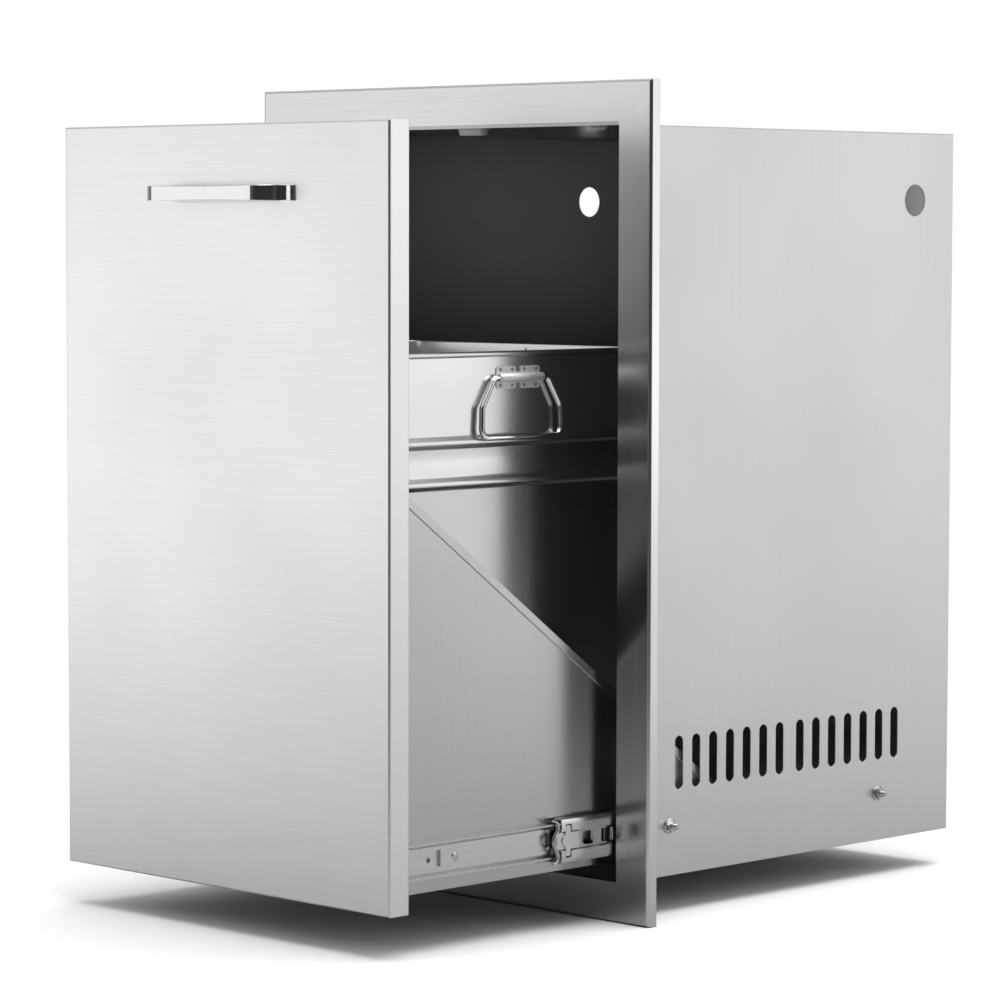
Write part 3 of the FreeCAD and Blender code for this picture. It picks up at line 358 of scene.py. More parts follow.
def piece(name, mesh, material, body, nodes=(), bevel=0.0, sharp=35.0, cutters=()):
    """Put a mesh in the scene as a finished piece: cut, rounded, dressed and riding on its body."""
    facing_out(mesh)
    mesh.materials.clear()
    mesh.materials.append(material)
    mesh.shade_smooth()
    mesh.set_sharp_from_angle(angle=math.radians(sharp))
    item = bpy.data.objects.new(name, mesh)
    scene.collection.objects.link(item)
    for cutter in cutters:
        hole = item.modifiers.new("hole", "BOOLEAN")
        hole.object = cutter
        hole.operation = "DIFFERENCE"
        hole.solver = "EXACT"
    if bevel:
        rounding = item.modifiers.new("edges", "BEVEL")
        rounding.width = bevel
        rounding.segments = 2
        rounding.limit_method = "ANGLE"
        rounding.angle_limit = math.radians(40)
        rounding.harden_normals = True
    bpy.context.view_layer.update()
    shape = bpy.data.meshes.new_from_object(item.evaluated_get(bpy.context.evaluated_depsgraph_get()))
    item.modifiers.clear()
    item.data = shape
    shape.name = name
    for cutter in cutters:
        bpy.data.objects.remove(cutter)
    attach(item, body)
    if nodes:
        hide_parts(*nodes)
    return item


def cutter_from(mesh):
    """A closed mesh as a tool that piece() cuts with and then throws away."""
    facing_out(mesh)
    item = bpy.data.objects.new("cutter", mesh)
    scene.collection.objects.link(item)
    return item


def arc(centre, radius, start, end, steps):
    """Points round part of a circle, angles in degrees, both ends included."""
    turns = [math.radians(start + (end - start) * i / steps) for i in range(steps + 1)]
    return [(centre[0] + radius * math.cos(a), centre[1] + radius * math.sin(a)) for a in turns]


def rounded(corners, radius, steps=4):
    """A closed outline through corners, each turned into an arc; a radius of nothing keeps a corner sharp."""
    points = []
    count = len(corners)
    for i in range(count):
        here = Vector(corners[i])
        back, ahead = Vector(corners[i - 1]) - here, Vector(corners[(i + 1) % count]) - here
        size = radius[i] if isinstance(radius, (list, tuple)) else radius
        turn = math.pi - back.angle(ahead)
        if size <= 0 or turn < 0.01:
            points.append(tuple(here))
            continue
        reach = min(size * math.tan(turn / 2), back.length * 0.98, ahead.length * 0.98)
        size = reach / math.tan(turn / 2)
        inward = (back.normalized() + ahead.normalized()).normalized()
        centre = here + inward * size / math.cos(turn / 2)
        spoke = here + back.normalized() * reach - centre
        way = 1 if back.cross(ahead) < 0 else -1
        for k in range(steps + 1):
            points.append(tuple(centre + Matrix.Rotation(way * turn * k / steps, 2) @ spoke))
    return points


SLIDE_UP = (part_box("inner_rail_right")[0].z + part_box("inner_rail_right")[1].z) / 2
WALL_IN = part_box("outer_rail_right")[1].x


def beside_wall(side, outline, depths):
    """Loops of one upright outline at several depths from the cabinet wall."""
    return [[(side * (WALL_IN - depth), y, z) for y, z in outline] for depth in depths]


def along_rail(section, start, end, side):
    """Loops of a slide section at both ends; the section holds depth from the wall and height."""
    return [[(side * (WALL_IN - depth), deep, SLIDE_UP + up) for depth, up in section]
            for deep in (start, end)]


def mirror_down(half):
    """Complete an upper half section with its lower half."""
    return half + [(depth, -up) for depth, up in reversed(half)]


def punch_cutters(side, start, punches):
    """Cutters through a slide's web, for punches counted in mm from the member's front end."""
    cutters = []
    for back, up, wide, high, kind, depths in punches:
        deep, level = start + back * MM, SLIDE_UP + up * MM
        half_wide, half_high = wide / 2 * MM, high / 2 * MM
        if kind == "d":
            outline = arc((deep - half_wide + half_high, level), half_high, 90, 270, 10)
            outline += [(deep + half_wide, level - half_high), (deep + half_wide, level + half_high)]
        elif kind == "round":
            outline = arc((deep, level), half_wide, 0, 342, 19)
        else:
            outline = rounded([(deep - half_wide, level - half_high), (deep + half_wide, level - half_high),
                               (deep + half_wide, level + half_high), (deep - half_wide, level + half_high)],
                              PUNCH_ROUND)
        loops = beside_wall(side, outline, [depth * MM for depth in depths])
        cutters.append(cutter_from(skin_loops("cutter", loops)))
    return cutters


PUNCH_ROUND = 0.7 * MM
DRAWER_WEB, MIDDLE_WEB, MIDDLE_BAND = (10, 14), (3, 8), (1, 4)
DRAWER_PUNCHES = ((25.0, 0.0, 4.4, 4.4, "round", DRAWER_WEB), (35.5, 0.5, 5.2, 12.4, "oblong", DRAWER_WEB),
                  (300.0, 0.0, 9.0, 5.0, "oblong", DRAWER_WEB))
MIDDLE_PUNCHES = ((36.3, 0.0, 13.2, 10.6, "d", MIDDLE_WEB), (58.7, 0.0, 13.2, 10.6, "oblong", MIDDLE_WEB),
                  (12.9, 9.8, 6.4, 6.4, "oblong", MIDDLE_BAND), (12.9, -9.8, 6.4, 6.4, "oblong", MIDDLE_BAND))
CLIP_ROOM = 5.0 * MM
SKIN = 1.2 * MM
INNER_NEAR, INNER_DEEP, INNER_HALF = 7.0 * MM, 12.7 * MM, 13.35 * MM
GROOVE = 0.75 * MM
DRAWER_MEMBER = mirror_down(
    [(INNER_DEEP, INNER_HALF - 2 * MM), (INNER_DEEP - 0.6 * MM, INNER_HALF - 0.5 * MM),
     (INNER_DEEP - 1.8 * MM, INNER_HALF), (9.6 * MM, INNER_HALF), (9.1 * MM, INNER_HALF - GROOVE * 0.6),
     (8.6 * MM, INNER_HALF - GROOVE), (8.1 * MM, INNER_HALF - GROOVE * 0.6), (7.6 * MM, INNER_HALF),
     (INNER_NEAR, INNER_HALF), (INNER_NEAR, INNER_HALF - SKIN), (7.7 * MM, INNER_HALF - SKIN),
     (8.2 * MM, INNER_HALF - SKIN - GROOVE * 0.7), (8.6 * MM, INNER_HALF - SKIN - GROOVE),
     (9.0 * MM, INNER_HALF - SKIN - GROOVE * 0.7), (9.6 * MM, INNER_HALF - SKIN),
     (INNER_DEEP - SKIN - 0.6 * MM, INNER_HALF - SKIN), (INNER_DEEP - SKIN, INNER_HALF - SKIN - 0.6 * MM),
     (INNER_DEEP - SKIN, 10.4 * MM), (INNER_DEEP - SKIN - 0.7 * MM, 9.9 * MM)])
NEAR, FAR, HALF, WEB = 2.4 * MM, 10.4 * MM, 17.6 * MM, 4.6 * MM
STEP = 7.6 * MM
MIDDLE_MEMBER = mirror_down(
    [(NEAR, STEP), (NEAR, HALF - 1.8 * MM), (NEAR + 0.5 * MM, HALF - 0.5 * MM), (NEAR + 1.8 * MM, HALF),
     (FAR, HALF), (FAR, HALF - SKIN), (NEAR + 2.2 * MM, HALF - SKIN), (NEAR + SKIN, HALF - SKIN - 1.0 * MM),
     (NEAR + SKIN, STEP + 0.6 * MM), (WEB + SKIN, STEP - 0.6 * MM)])
MIDDLE_MEMBER = [(WEB, STEP - 1.0 * MM)] + MIDDLE_MEMBER + [(WEB, 1.0 * MM - STEP)]
for side, name in ((1, "right"), (-1, "left")):
    node_name = f"inner_rail_{name}"
    start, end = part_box(node_name)[0].y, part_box(node_name)[1].y
    mesh = skin_loops(node_name, along_rail(DRAWER_MEMBER, start, end, side))
    piece(f"drawer_member_{name}", mesh, zinc, "drawer", [node_name],
          cutters=punch_cutters(side, start, DRAWER_PUNCHES), sharp=28)
    node_name = f"middle_rail_{name}"
    start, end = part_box(node_name)[0].y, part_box(node_name)[1].y
    mesh = skin_loops(node_name, along_rail(MIDDLE_MEMBER, start + CLIP_ROOM, end, side))
    piece(f"middle_member_{name}", mesh, zinc, f"middle_rail_{name}", [node_name],
          cutters=punch_cutters(side, start, MIDDLE_PUNCHES), sharp=28)
dress(zinc, "outer_rail_right", "outer_rail_left", "outer_cage_right", "outer_cage_left", "inner_cage_right",
      "inner_cage_left")
dress(hard_steel, "outer_balls_right", "outer_balls_left", "inner_balls_right", "inner_balls_left")

# ------------------------------------------------------------------ slide end clips
# A stamped clip sprung over each middle member's front end: a curled lip that meets the cabinet
# member, a tongue in the recess, and two ears locked in notches.
clip_steel = steel("clip_steel", (1, 1, 1), (0.70, 0.70, 0.70), (0.60, 0.60, 0.61), 0.22, 0.34, fine=900.0,
                   ripple=0.02, edge=0.2, lines=0.3)
NOSE_HALF = [(0.3, 0.0), (0.5, 2.2), (1.5, 4.6), (3.0, 6.6), (4.2, 8.4), (4.7, 10.4), (4.7, 12.4),
             (4.3, 14.2), (2.9, 15.2), (1.3, 15.8), (0.1, 16.8)]
NOSE = [(y, -up) for y, up in reversed(NOSE_HALF[1:])] + NOSE_HALF
NOSE_THICK, NOSE_NEAR, NOSE_DEEP = 1.1 * MM, 2.5 * MM, 5.7 * MM
TONGUE_START, TONGUE_HALF, TONGUE_TIP, HOLLOW_RAD = 12.6 * MM, 6.6 * MM, 1.0 * MM, 4.2 * MM
HOLLOW_BACK = 1.5 * MM
TONGUE_DEPTHS, TONGUE_ROUND = (3.0 * MM, 4.55 * MM), 0.9 * MM
EAR_HALF, EAR_NEAR, EAR_FAR, EAR_TAPER = 12.0 * MM, 1.2 * MM, 6.0 * MM, 0.2 * MM
BASE_FRONT, BASE_LAP, BASE_HALF, BASE_DEPTHS = 4.0 * MM, 3.0 * MM, 6.2 * MM, (3.9 * MM, 4.58 * MM)


def smoothed(points, steps=4):
    """A curve through points, eased between them."""
    ends = [points[0]] + list(points) + [points[-1]]
    curve = []
    for i in range(1, len(ends) - 2):
        a, b, c, d = (Vector(ends[i + k]) for k in (-1, 0, 1, 2))
        for k in range(steps):
            t = k / steps
            curve.append(0.5 * (2 * b + (c - a) * t + (2 * a - 5 * b + 4 * c - d) * t ** 2
                                + (3 * b - a - 3 * c + d) * t ** 3))
    return curve + [Vector(points[-1])]


for side, name in ((1, "right"), (-1, "left")):
    node_name = f"rail_clip_{name}"
    low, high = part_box(node_name)
    front, end = low.y, high.y
    start = front + TONGUE_START
    half = [(start + EAR_NEAR - EAR_TAPER, -TONGUE_HALF), (start + EAR_NEAR, -EAR_HALF),
            (start + EAR_FAR, -EAR_HALF), (start + EAR_FAR + EAR_TAPER, -TONGUE_HALF),
            (end - TONGUE_TIP, -TONGUE_HALF)]
    tongue = half + [(end, 0)] + [(y, -up) for y, up in reversed(half)]
    outline = rounded([(y, SLIDE_UP + up) for y, up in tongue], TONGUE_ROUND, 3)
    outline += arc((start + HOLLOW_BACK, SLIDE_UP), HOLLOW_RAD, 115, 245, 10)
    piece(f"clip_tongue_{name}", skin_loops("tongue", beside_wall(side, outline, TONGUE_DEPTHS)), clip_steel,
          f"middle_rail_{name}", [node_name], bevel=0.25 * MM)
    base = rounded([(front + BASE_FRONT, SLIDE_UP - BASE_HALF), (start + BASE_LAP, SLIDE_UP - BASE_HALF),
                    (start + BASE_LAP, SLIDE_UP + BASE_HALF), (front + BASE_FRONT, SLIDE_UP + BASE_HALF)],
                   0.5 * MM)
    piece(f"clip_base_{name}", skin_loops("base", beside_wall(side, base, BASE_DEPTHS)), zinc,
          f"middle_rail_{name}", bevel=0.15 * MM)
    curl = smoothed(NOSE)
    near, deep = side * (WALL_IN - NOSE_NEAR), side * (WALL_IN - NOSE_DEEP)
    loops = []
    for i, spot in enumerate(curl):
        ahead, behind = curl[min(i + 1, len(curl) - 1)], curl[max(i - 1, 0)]
        along = (ahead - behind).normalized()
        thick = Vector((along.y, -along.x)) * NOSE_THICK
        y0, up0 = front + spot.x * MM, SLIDE_UP + spot.y * MM
        y1, up1 = y0 + thick.x, up0 + thick.y
        loops.append([(near, y0, up0), (deep, y0, up0), (deep, y1, up1), (near, y1, up1)])
    piece(f"clip_nose_{name}", skin_loops("nose", loops), clip_steel, f"middle_rail_{name}",
          bevel=0.2 * MM, sharp=50)

# ------------------------------------------------------------------ studs, washers and nuts
# Each cabinet member is held by two M5 clinch studs through the wall, with a plain washer and
# a hex nut outside. All are bright zinc plate.
fastener = steel("fastener_steel", (1, 1, 1), (0.60, 0.60, 0.59), (0.46, 0.46, 0.46), 0.12, 0.22, fine=2400.0,
                 ripple=0.02, edge=0.12, lines=0.2)


def in_mm(profile):
    """A profile written in mm, in metres."""
    return [(up * MM, radius * MM) for up, radius in profile]


def ring(place, axis, up, radii, start=0.0):
    """A ring of points about an axis through a place, one for each radius."""
    quat = Vector(axis).to_track_quat("Z", "Y")
    points = []
    for i, radius in enumerate(radii):
        angle = start + 2 * math.pi * i / len(radii)
        points.append(Vector(place) + quat @ Vector((radius * math.cos(angle), radius * math.sin(angle), up)))
    return points


def turned(name, profile, place, axis, sides=40):
    """A turned mesh: profile holds height along the axis and radius."""
    return skin_loops(name, [ring(place, axis, up, [radius] * sides) for up, radius in profile])


def join(meshes, name):
    """Several meshes as one."""
    work = bmesh.new()
    for mesh in meshes:
        work.from_mesh(mesh)
    made = bpy.data.meshes.new(name)
    work.to_mesh(made)
    work.free()
    return made


STUD_RAD, STUD_OUT, STUD_SUNK, STUD_TIP, TIP_CUT = 2.5 * MM, 9.5 * MM, 0.7 * MM, 0.8 * MM, 0.5 * MM
THREAD_PITCH, THREAD_DEEP, ROWS_A_TURN = 0.8 * MM, 0.42 * MM, 8
STUD_HEAD = ((-2.0, 4.2), (-1.9, 4.4), (-0.8, 4.4))
WASHER = ((0, 5.9), (0.2, 6.2), (0.8, 6.2), (0.98, 5.9), (0.98, 2.8))
WASHER_THICK = 1.0 * MM
NUT_FLAT, NUT_SIDES = 4.0 * MM, 48
NUT = ((0.0, 3.75), (0.45, 4.62), (3.55, 4.62), (4.0, 3.75), (4.0, 2.75), (3.6, 2.45))
HEAD_RAD = 4.4 * MM
BOX_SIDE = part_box("side_panel_right")[1].x
stud_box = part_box("slide_studs")
STUD_SPOTS = [(side, deep) for side in (1, -1)
              for deep in (stud_box[0].y + HEAD_RAD, stud_box[1].y - HEAD_RAD)]


def thread(place, axis, start, length, sides=24):
    """The threaded end of a stud: one surface whose radius rises and falls along a helix."""
    rows = int(length / THREAD_PITCH * ROWS_A_TURN)
    loops = []
    for row in range(rows + 1):
        up = start + length * row / rows
        tip = max(0.0, (up - (start + length - STUD_TIP)) / STUD_TIP)
        phases = [(up / THREAD_PITCH + i / sides) % 1 for i in range(sides)]
        radii = [STUD_RAD - THREAD_DEEP * abs(2 * phase - 1) - tip * TIP_CUT for phase in phases]
        loops.append(ring(place, axis, up, radii))
    return skin_loops("thread", loops)


def hex_nut(place, axis, turn_by):
    """A hex nut chamfered to a circle at both faces."""
    loops = []
    for up, limit in in_mm(NUT):
        radii = []
        for i in range(NUT_SIDES):
            local = (2 * math.pi * i / NUT_SIDES + math.pi / 6) % (math.pi / 3) - math.pi / 6
            radii.append(min(NUT_FLAT / math.cos(local), limit))
        loops.append(ring(place, axis, up, radii, turn_by))
    return skin_loops("nut", loops)


heads, washers, nuts = [], [], []
for number, (side, deep) in enumerate(STUD_SPOTS):
    outside, outward = (side * BOX_SIDE, deep, SLIDE_UP), (side, 0, 0)
    heads.append(thread(outside, outward, -STUD_SUNK, STUD_OUT + STUD_SUNK))
    heads.append(turned("head", in_mm(STUD_HEAD), outside, outward))
    washers.append(turned("washer", in_mm(WASHER), outside, outward))
    nut_place = (side * (BOX_SIDE + WASHER_THICK), deep, SLIDE_UP)
    nuts.append(hex_nut(nut_place, outward, math.radians(12 + 23 * number)))
piece("studs", join(heads, "studs"), fastener, "cabinet", ["slide_studs"])
piece("washers", join(washers, "washers"), fastener, "cabinet", ["slide_washers"])
piece("nuts", join(nuts, "nuts"), fastener, "cabinet", ["slide_nuts"], sharp=25)

# ------------------------------------------------------------------ fittings under the roof
# A magnet catch, a rounded bar on a thin foot, and a domed bumper at each side of it. All are
# moulded in white plastic and pressed into the roof behind the face frame.
def plastic(name, colour, rough):
    """Moulded plastic with a fine spark-eroded skin and a little yellowing."""
    made = bpy.data.materials.new(name)
    made.use_nodes = True
    tree = made.node_tree
    link = tree.links.new
    shader = tree.nodes["Principled BSDF"]
    place = node(tree, "TexCoord")
    skin = node(tree, "TexNoise", Scale=3200.0, Detail=2.0)
    age = node(tree, "TexNoise", Scale=60.0, Detail=3.0)
    link(place.outputs["Object"], skin.inputs["Vector"])
    link(place.outputs["Object"], age.inputs["Vector"])
    tint = node(tree, "Mix", data_type="RGBA")
    tint.inputs[6].default_value = (*colour, 1)
    tint.inputs[7].default_value = (*(part * 0.9 for part in colour), 1)
    link(age.outputs[0], tint.inputs[0])
    link(tint.outputs[2], shader.inputs["Base Color"])
    gloss = node(tree, "MapRange", To_Min=rough - 0.06, To_Max=rough + 0.08)
    link(age.outputs[0], gloss.inputs["Value"])
    link(gloss.outputs[0], shader.inputs["Roughness"])
    bump = node(tree, "Bump", Strength=0.3, Distance=0.05 * MM)
    link(skin.outputs[0], bump.inputs["Height"])
    link(bump.outputs[0], shader.inputs["Normal"])
    return made


white_plastic = plastic("white_plastic", (0.93, 0.93, 0.91), 0.38)

low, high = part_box("door_catch")
CATCH_LONG, CATCH_DEEP, CATCH_HIGH, CATCH_EDGE = 29.5 * MM, 8.4 * MM, 4.7 * MM, 1.6 * MM
CATCH_FOOT_OUT, CATCH_FOOT_HIGH = 2.4 * MM, 0.7 * MM
DISH_IN, DISH_EDGE, DISH_DEEP = 0.8 * MM, 0.2 * MM, 0.5 * MM
centre = ((low.x + high.x) / 2, (low.y + high.y) / 2)


def pill(long, deep, inset):
    """A rounded bar's outline seen from above."""
    radius = deep / 2 - inset
    reach = long / 2 - deep / 2
    right = arc((centre[0] + reach, centre[1]), radius, -90, 90, 14)
    return right + arc((centre[0] - reach, centre[1]), radius, 90, 270, 14)


shape = [(0.0, 0.0), (0.0, CATCH_HIGH - CATCH_EDGE)]
shape += [(CATCH_EDGE * (1 - math.cos(a)), CATCH_HIGH - CATCH_EDGE * (1 - math.sin(a)))
          for a in (math.radians(15 * i) for i in range(1, 7))]
shape += [(CATCH_EDGE + DISH_IN, CATCH_HIGH), (CATCH_EDGE + DISH_IN + DISH_EDGE, CATCH_HIGH - DISH_DEEP)]
loops = [[(x, y, high.z - drop) for x, y in pill(CATCH_LONG, CATCH_DEEP, inset)] for inset, drop in shape]
foot = [[(x, y, high.z - drop) for x, y in pill(CATCH_LONG + CATCH_FOOT_OUT, CATCH_DEEP + CATCH_FOOT_OUT, 0)]
        for drop in (0, CATCH_FOOT_HIGH)]
catch = join([skin_loops("catch", loops), skin_loops("foot", foot)], "catch")
piece("magnet_catch", catch, white_plastic, "cabinet", ["door_catch"], sharp=40)
low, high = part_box("ceiling_bumpers")
BUMPER_RAD, BUMPER_RIM, BUMPER_HIGH, BUMPER_TIP = 8.2 * MM, 0.5 * MM, high.z - low.z, 0.04
rows = [(0, BUMPER_RAD), (BUMPER_RIM, BUMPER_RAD)]
for step in range(1, 10):
    turn = math.radians(10 * step)
    up = BUMPER_RIM + (BUMPER_HIGH - BUMPER_RIM) * math.sin(turn)
    rows.append((up, BUMPER_RAD * (BUMPER_TIP + (1 - BUMPER_TIP) * math.cos(turn))))
domes = [turned("dome", rows, (x, (low.y + high.y) / 2, high.z), (0, 0, -1))
         for x in (low.x + BUMPER_RAD, high.x - BUMPER_RAD)]
piece("roof_bumpers", join(domes, "domes"), white_plastic, "cabinet", ["ceiling_bumpers"],
      sharp=50)

# ------------------------------------------------------------------ door
# A pan of 1 mm stainless, brushed straight across and folded back at all four edges. A plain
# sheet liner closes it from behind.
door_steel = steel("door_steel", ALONG_X, (0.78, 0.78, 0.78), (0.71, 0.71, 0.71), 0.28, 0.38, fine=2100.0,
                   ripple=0.04, edge=0.9, lines=0.5)
liner_steel = steel("liner_steel", ALONG_Z, (0.62, 0.62, 0.615), (0.54, 0.54, 0.535), 0.38, 0.5, fine=900.0,
                    ripple=0.12, lines=0.5)
dress(door_steel, "door_front")
dress(liner_steel, "door_back")
dress(fastener, "catch_strike", "handle_screws", "cradle_screws")

# ------------------------------------------------------------------ door handle
# A flat stainless bar, bent back at wide corners to two legs on outturned feet and mirror
# polished. A screw from inside the door is driven into each leg.
polished = steel("polished_steel", (1, 1, 1), (0.84, 0.84, 0.84), (0.80, 0.80, 0.80), 0.035, 0.09, fine=900.0,
                 ripple=0.015, edge=0.3, lines=0.1)
low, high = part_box("door_handle")
BAR, LEG, LEG_THICK, FOOT_THICK = 5.5 * MM, 72.0 * MM, 12.0 * MM, 3.0 * MM
OUTER_BEND, INNER_BEND, FOOT_EDGE, FOOT_BEND = 18.0 * MM, 5.0 * MM, 1.6 * MM, 0.4 * MM
FLARE, BAR_STEP = 0.9 * MM, 9.0 * MM
front, face = low.y, high.y
right_half = [(LEG, front), (LEG, face - FOOT_THICK), (high.x, face - FOOT_THICK), (high.x, face),
              (LEG - LEG_THICK, face), (LEG - LEG_THICK, front + BAR)]
bends = [OUTER_BEND, FOOT_BEND, FOOT_EDGE, 0, 0, INNER_BEND]
corners = right_half + [(-x, y) for x, y in reversed(right_half)]
spots = rounded(corners, bends + bends[::-1], 9)
outline = []
for i, here in enumerate(spots):
    ahead = spots[(i + 1) % len(spots)]
    steps = max(1, round(abs(ahead[0] - here[0]) / BAR_STEP))
    outline += [tuple(Vector(here).lerp(Vector(ahead), k / steps)) for k in range(steps)]
middle = (low.z + high.z) / 2
tall = (high.z - low.z) / 2
loops = [[(x, y, middle + sign * (tall - FLARE * (1 - min(1, abs(x) / LEG) ** 2))) for x, y in outline]
         for sign in (-1, 1)]
piece("bow_handle", skin_loops("handle", loops), polished, "drawer", ["door_handle"],
      bevel=0.7 * MM, sharp=30)

# ------------------------------------------------------------------ cradle
# Two side plates with a hemmed, sloping top edge and a floor, in satin sheet, screwed to the
# door's liner and riveted to the drawer members.
cradle_steel = steel("cradle_steel", ALONG_Z, (0.50, 0.50, 0.50), (0.46, 0.46, 0.46), 0.17, 0.27, fine=1500.0,
                     ripple=0.10, edge=0.4, lines=0.4)
dress(cradle_steel, "cradle_side_right", "cradle_side_left", "cradle_floor")
RIVET = ((0, 3.6), (0.5, 3.6), (0.95, 3.2), (1.25, 2.3), (1.4, 1.2), (1.4, 0.3))
RIVET_TAIL = ((0, 3.0), (0.7, 2.8), (1.0, 2.2))
RIVET_RAD = 3.6 * MM
rivet_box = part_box("rail_rivets")
web_face = WALL_IN - INNER_DEEP + SKIN
tail_face = web_face - SKIN - SKIN
rivet_meshes = []
for side in (1, -1):
    for deep in (rivet_box[0].y + RIVET_RAD, rivet_box[1].y - RIVET_RAD):
        head, tail = (side * web_face, deep, SLIDE_UP), (side * tail_face, deep, SLIDE_UP)
        rivet_meshes.append(turned("rivet", in_mm(RIVET), head, (side, 0, 0)))
        rivet_meshes.append(turned("tail", in_mm(RIVET_TAIL), tail, (-side, 0, 0)))
piece("member_rivets", join(rivet_meshes, "rivets"), fastener, "drawer", ["rail_rivets"])

# ------------------------------------------------------------------ bin
# A deep shell of 0.8 mm stainless with two outward beads, a rim rolled outwards and a floor
# with a rounded foot. One dull weld runs down the back wall, ground off over the beads.
bin_steel = steel("bin_steel", ALONG_X, (0.64, 0.64, 0.64), (0.60, 0.60, 0.60), 0.17, 0.27, fine=1300.0,
                  ripple=0.22, edge=0.2, lines=0.35)
low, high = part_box("bin_body")
RIM, WALL_THICK, CORNER = 2.3 * MM, 0.8 * MM, 22.0 * MM
RIM_IN = RIM - WALL_THICK
half = high.x - RIM - RIM_IN
front, back = low.y + RIM + RIM_IN, high.y - RIM - RIM_IN
bottom, top = low.z, high.z - RIM
BEADS = (320.0 * MM, 351.4 * MM)
BEAD_OUT, BEAD_HALF, FOOT_RAD, FLOOR_IN = 3.2 * MM, 5.8 * MM, 6.0 * MM, 30.0 * MM
CORNER_EASE, FLOOR_EASE, WALL_EASE = 0.8 * MM, 2.0 * MM, 1.0 * MM


def bin_loop(inset, up):
    """One rounded rectangle round the bin, inset from the wall's outer face."""
    wide, near, far, radius = half - inset, front + inset, back - inset, max(CORNER - inset, 0.5 * MM)
    points = []
    for cx, cy, start in ((wide - radius, far - radius, 0), (radius - wide, far - radius, 90),
                          (radius - wide, near + radius, 180), (wide - radius, near + radius, 270)):
        corner = arc((cx, cy), radius, start, start + 90, 12)
        first, last = Vector(corner[0]), Vector(corner[-1])
        leaving, meeting = math.radians(start), math.radians(start + 90)
        lead = first - CORNER_EASE * Vector((-math.sin(leaving), math.cos(leaving)))
        trail = last + CORNER_EASE * Vector((-math.sin(meeting), math.cos(meeting)))
        points += [tuple(lead)] + corner + [tuple(trail)]
    return [(x, y, up) for x, y in points]


BEAD_SHAPE = ((-1.0, 0.0), (-0.92, 0.02), (-0.84, 0.10), (-0.48, 0.66), (-0.40, 0.80), (-0.32, 0.91),
              (-0.23, 0.98), (-0.14, 1.0), (0.0, 0.97), (0.14, 0.88), (0.38, 0.63), (0.6, 0.34),
              (0.8, 0.12), (0.92, 0.03), (1.0, 0.0))


def bead_profile(skin_in):
    """Rows up a wall past both beads: steep below the crest, easing back above it."""
    rows = []
    for middle in BEADS:
        rows += [(skin_in - BEAD_OUT * bulge, middle + share * BEAD_HALF) for share, bulge in BEAD_SHAPE]
    return rows


def foot_profile(skin_in, radius):
    """Rows round the foot from the floor up to the wall."""
    turns = [math.pi / 2 * step / 6 for step in range(7)]
    return [(skin_in + radius * (1 - math.sin(turn)), bottom + skin_in + radius * (1 - math.cos(turn)))
            for turn in turns]


profile = [(FOOT_RAD + FLOOR_IN, bottom), (FOOT_RAD + FLOOR_EASE, bottom)] + foot_profile(0, FOOT_RAD)
profile.append((0, bottom + FOOT_RAD + WALL_EASE))
profile += bead_profile(0)
rim_from = -180 + math.degrees(math.acos(RIM_IN / RIM))
for step in range(17):
    turn = math.radians(rim_from + (180 - rim_from) * step / 16)
    profile.append((-RIM_IN - RIM * math.cos(turn), top + RIM * math.sin(turn)))
profile += [(inset, up) for inset, up in reversed(bead_profile(WALL_THICK))]
profile.append((WALL_THICK, bottom + FOOT_RAD + WALL_EASE))
profile += reversed(foot_profile(WALL_THICK, FOOT_RAD - WALL_THICK))
profile += [(FOOT_RAD + FLOOR_EASE, bottom + WALL_THICK), (FOOT_RAD + FLOOR_IN, bottom + WALL_THICK)]
bin_mesh = skin_loops("bin", [bin_loop(inset, up) for inset, up in profile])
piece("bin_shell", bin_mesh, bin_steel, "bin", ["bin_body"], sharp=50)
weld_steel = steel("weld_steel", (1, 1, 1), (0.38, 0.36, 0.34), (0.14, 0.13, 0.13), 0.35, 0.55, fine=700.0,
                   ripple=0.02, edge=0.1, lines=0.8)
WELD_HALF, WELD_HIGH, WELD_ROOT, WELD_SIDE = 0.9 * MM, 0.35 * MM, 0.3 * MM, 3.5 * MM
WELD_STEP, WELD_SWELL, WELD_BEAT = 1.5 * MM, 0.18, 2.1
wall_inside = back - WALL_THICK
lowest_bead, highest_bead = BEADS[0] - BEAD_HALF, BEADS[1] + BEAD_HALF
for number, (start, end) in enumerate(((bottom + FOOT_RAD, lowest_bead), (highest_bead, top - 2 * MM))):
    bow = [(WELD_HALF * math.cos(a), wall_inside - WELD_HIGH * math.sin(a))
           for a in (math.pi * i / 8 for i in range(9))]
    bow += [(-WELD_HALF, wall_inside + WELD_ROOT), (WELD_HALF, wall_inside + WELD_ROOT)]
    rows = int((end - start) / WELD_STEP)
    loops = []
    for row in range(rows + 1):
        swell = 1 + WELD_SWELL * math.sin(row * WELD_BEAT)
        loops.append([(WELD_SIDE + x * swell, y, start + (end - start) * row / rows) for x, y in bow])
    piece(f"bin_weld_{number + 1}", skin_loops("weld", loops), weld_steel, "bin", sharp=60)

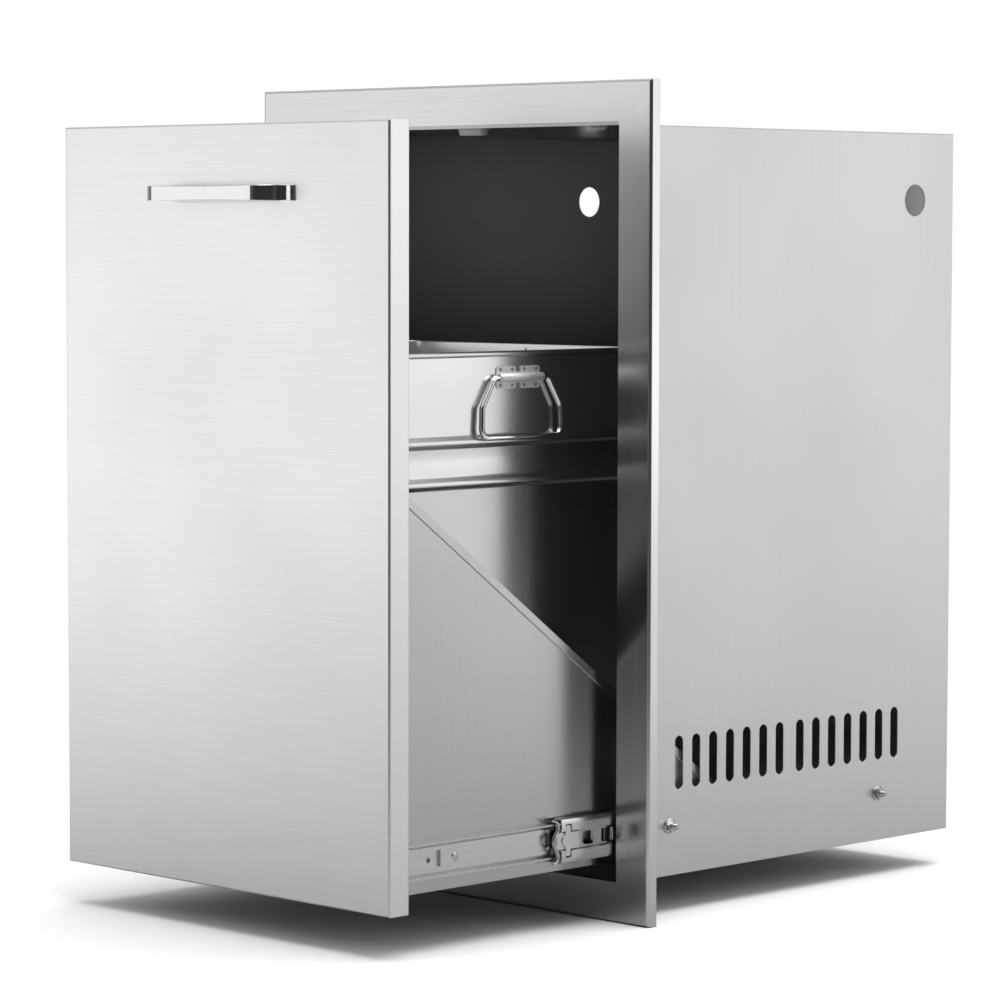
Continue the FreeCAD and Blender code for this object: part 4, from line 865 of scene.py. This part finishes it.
# ------------------------------------------------------------------ bail handles
# A riveted plate on each side of the bin holds a bent wire handle in a rolled barrel. The plate
# has four round-cornered tabs with two rivets each.
low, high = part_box("bail_plate_right")
PLATE_FACE = low.x
PLATE_THICK, TAB_GAP, TAB_RAD = 0.8 * MM, 5.0 * MM, 2.4 * MM
BRIDGE_LONG, BRIDGE_HIGH, BRIDGE_SUNK = 5.0 * MM, 4.2 * MM, 0.02 * MM
BARREL = ((0, 2.4), (0, 2.9), (0.25, 3.15))
BARREL_OUT = 3.15 * MM
plate_steel = steel("plate_steel", (1, 1, 1), (0.90, 0.90, 0.90), (0.82, 0.82, 0.82), 0.50, 0.62, fine=1500.0,
                    ripple=0.02, edge=0.15, lines=0.2)
middle_y, middle_z = (low.y + high.y) / 2, (low.z + high.z) / 2
barrel_x = high.x - BARREL_OUT
for side, name in ((1, "right"), (-1, "left")):
    tabs = []
    for across in (-1, 1):
        near_edge = middle_y + across * TAB_GAP / 2
        far_edge = middle_y + across * (high.y - low.y) / 2
        corners = [(near_edge, low.z), (far_edge, low.z), (far_edge, high.z), (near_edge, high.z)]
        outline = rounded(corners, TAB_RAD, 6)
        loops = [[(side * x, y, z) for y, z in outline] for x in (PLATE_FACE, PLATE_FACE + PLATE_THICK)]
        tabs.append(skin_loops("tab", loops))
    bridge = [(middle_y + across * BRIDGE_LONG, middle_z + up * BRIDGE_HIGH)
              for across, up in ((-1, -1), (1, -1), (1, 1), (-1, 1))]
    loops = [[(side * x, y, z) for y, z in bridge]
             for x in (PLATE_FACE + BRIDGE_SUNK, PLATE_FACE + PLATE_THICK - BRIDGE_SUNK)]
    tabs.append(skin_loops("bridge", loops))
    piece(f"hinge_plate_{name}", join(tabs, "plate"), plate_steel, "bin", [f"bail_plate_{name}"],
          bevel=0.22 * MM)
    ends = [(low.y + up, radius) for up, radius in in_mm(BARREL)]
    ends += [(high.y - up, radius) for up, radius in reversed(in_mm(BARREL))]
    turns = [2 * math.pi * i / 40 for i in range(40)]
    rings = [[(side * (barrel_x + radius * math.cos(a)), y, middle_z + radius * math.sin(a)) for a in turns]
             for y, radius in ends]
    barrel = skin_loops("barrel", rings + [rings[0]], cap=False)
    piece(f"hinge_barrel_{name}", barrel, plate_steel, "bin", sharp=50)
PIN = ((0, 1.5), (0.25, 1.45), (0.45, 1.1), (0.56, 0.6), (0.6, 0.2))
PIN_TAIL = ((0, 1.9), (0.4, 1.8), (0.6, 1.3))
PIN_REACHES, PIN_UP = (6.5 * MM, 19.5 * MM), 6.2 * MM
pin_spots = [(middle_y + across * reach, middle_z + up * PIN_UP)
             for reach in PIN_REACHES for across in (1, -1) for up in (1, -1)]
pin_meshes = []
for side in (1, -1):
    for y, z in pin_spots:
        head, tail = (side * (PLATE_FACE + PLATE_THICK), y, z), (side * (PLATE_FACE - WALL_THICK), y, z)
        pin_meshes.append(turned("pin", in_mm(PIN), head, (side, 0, 0), 20))
        pin_meshes.append(turned("tail", in_mm(PIN_TAIL), tail, (-side, 0, 0), 20))
rivet_steel = steel("rivet_steel", (1, 1, 1), (0.42, 0.42, 0.41), (0.3, 0.3, 0.3), 0.3, 0.45, fine=1500.0,
                    ripple=0.02, edge=0.1, lines=0.2)
piece("hinge_rivets", join(pin_meshes, "pins"), rivet_steel, "bin", ["plate_rivets"])
dress(polished, "bail_right", "bail_left")
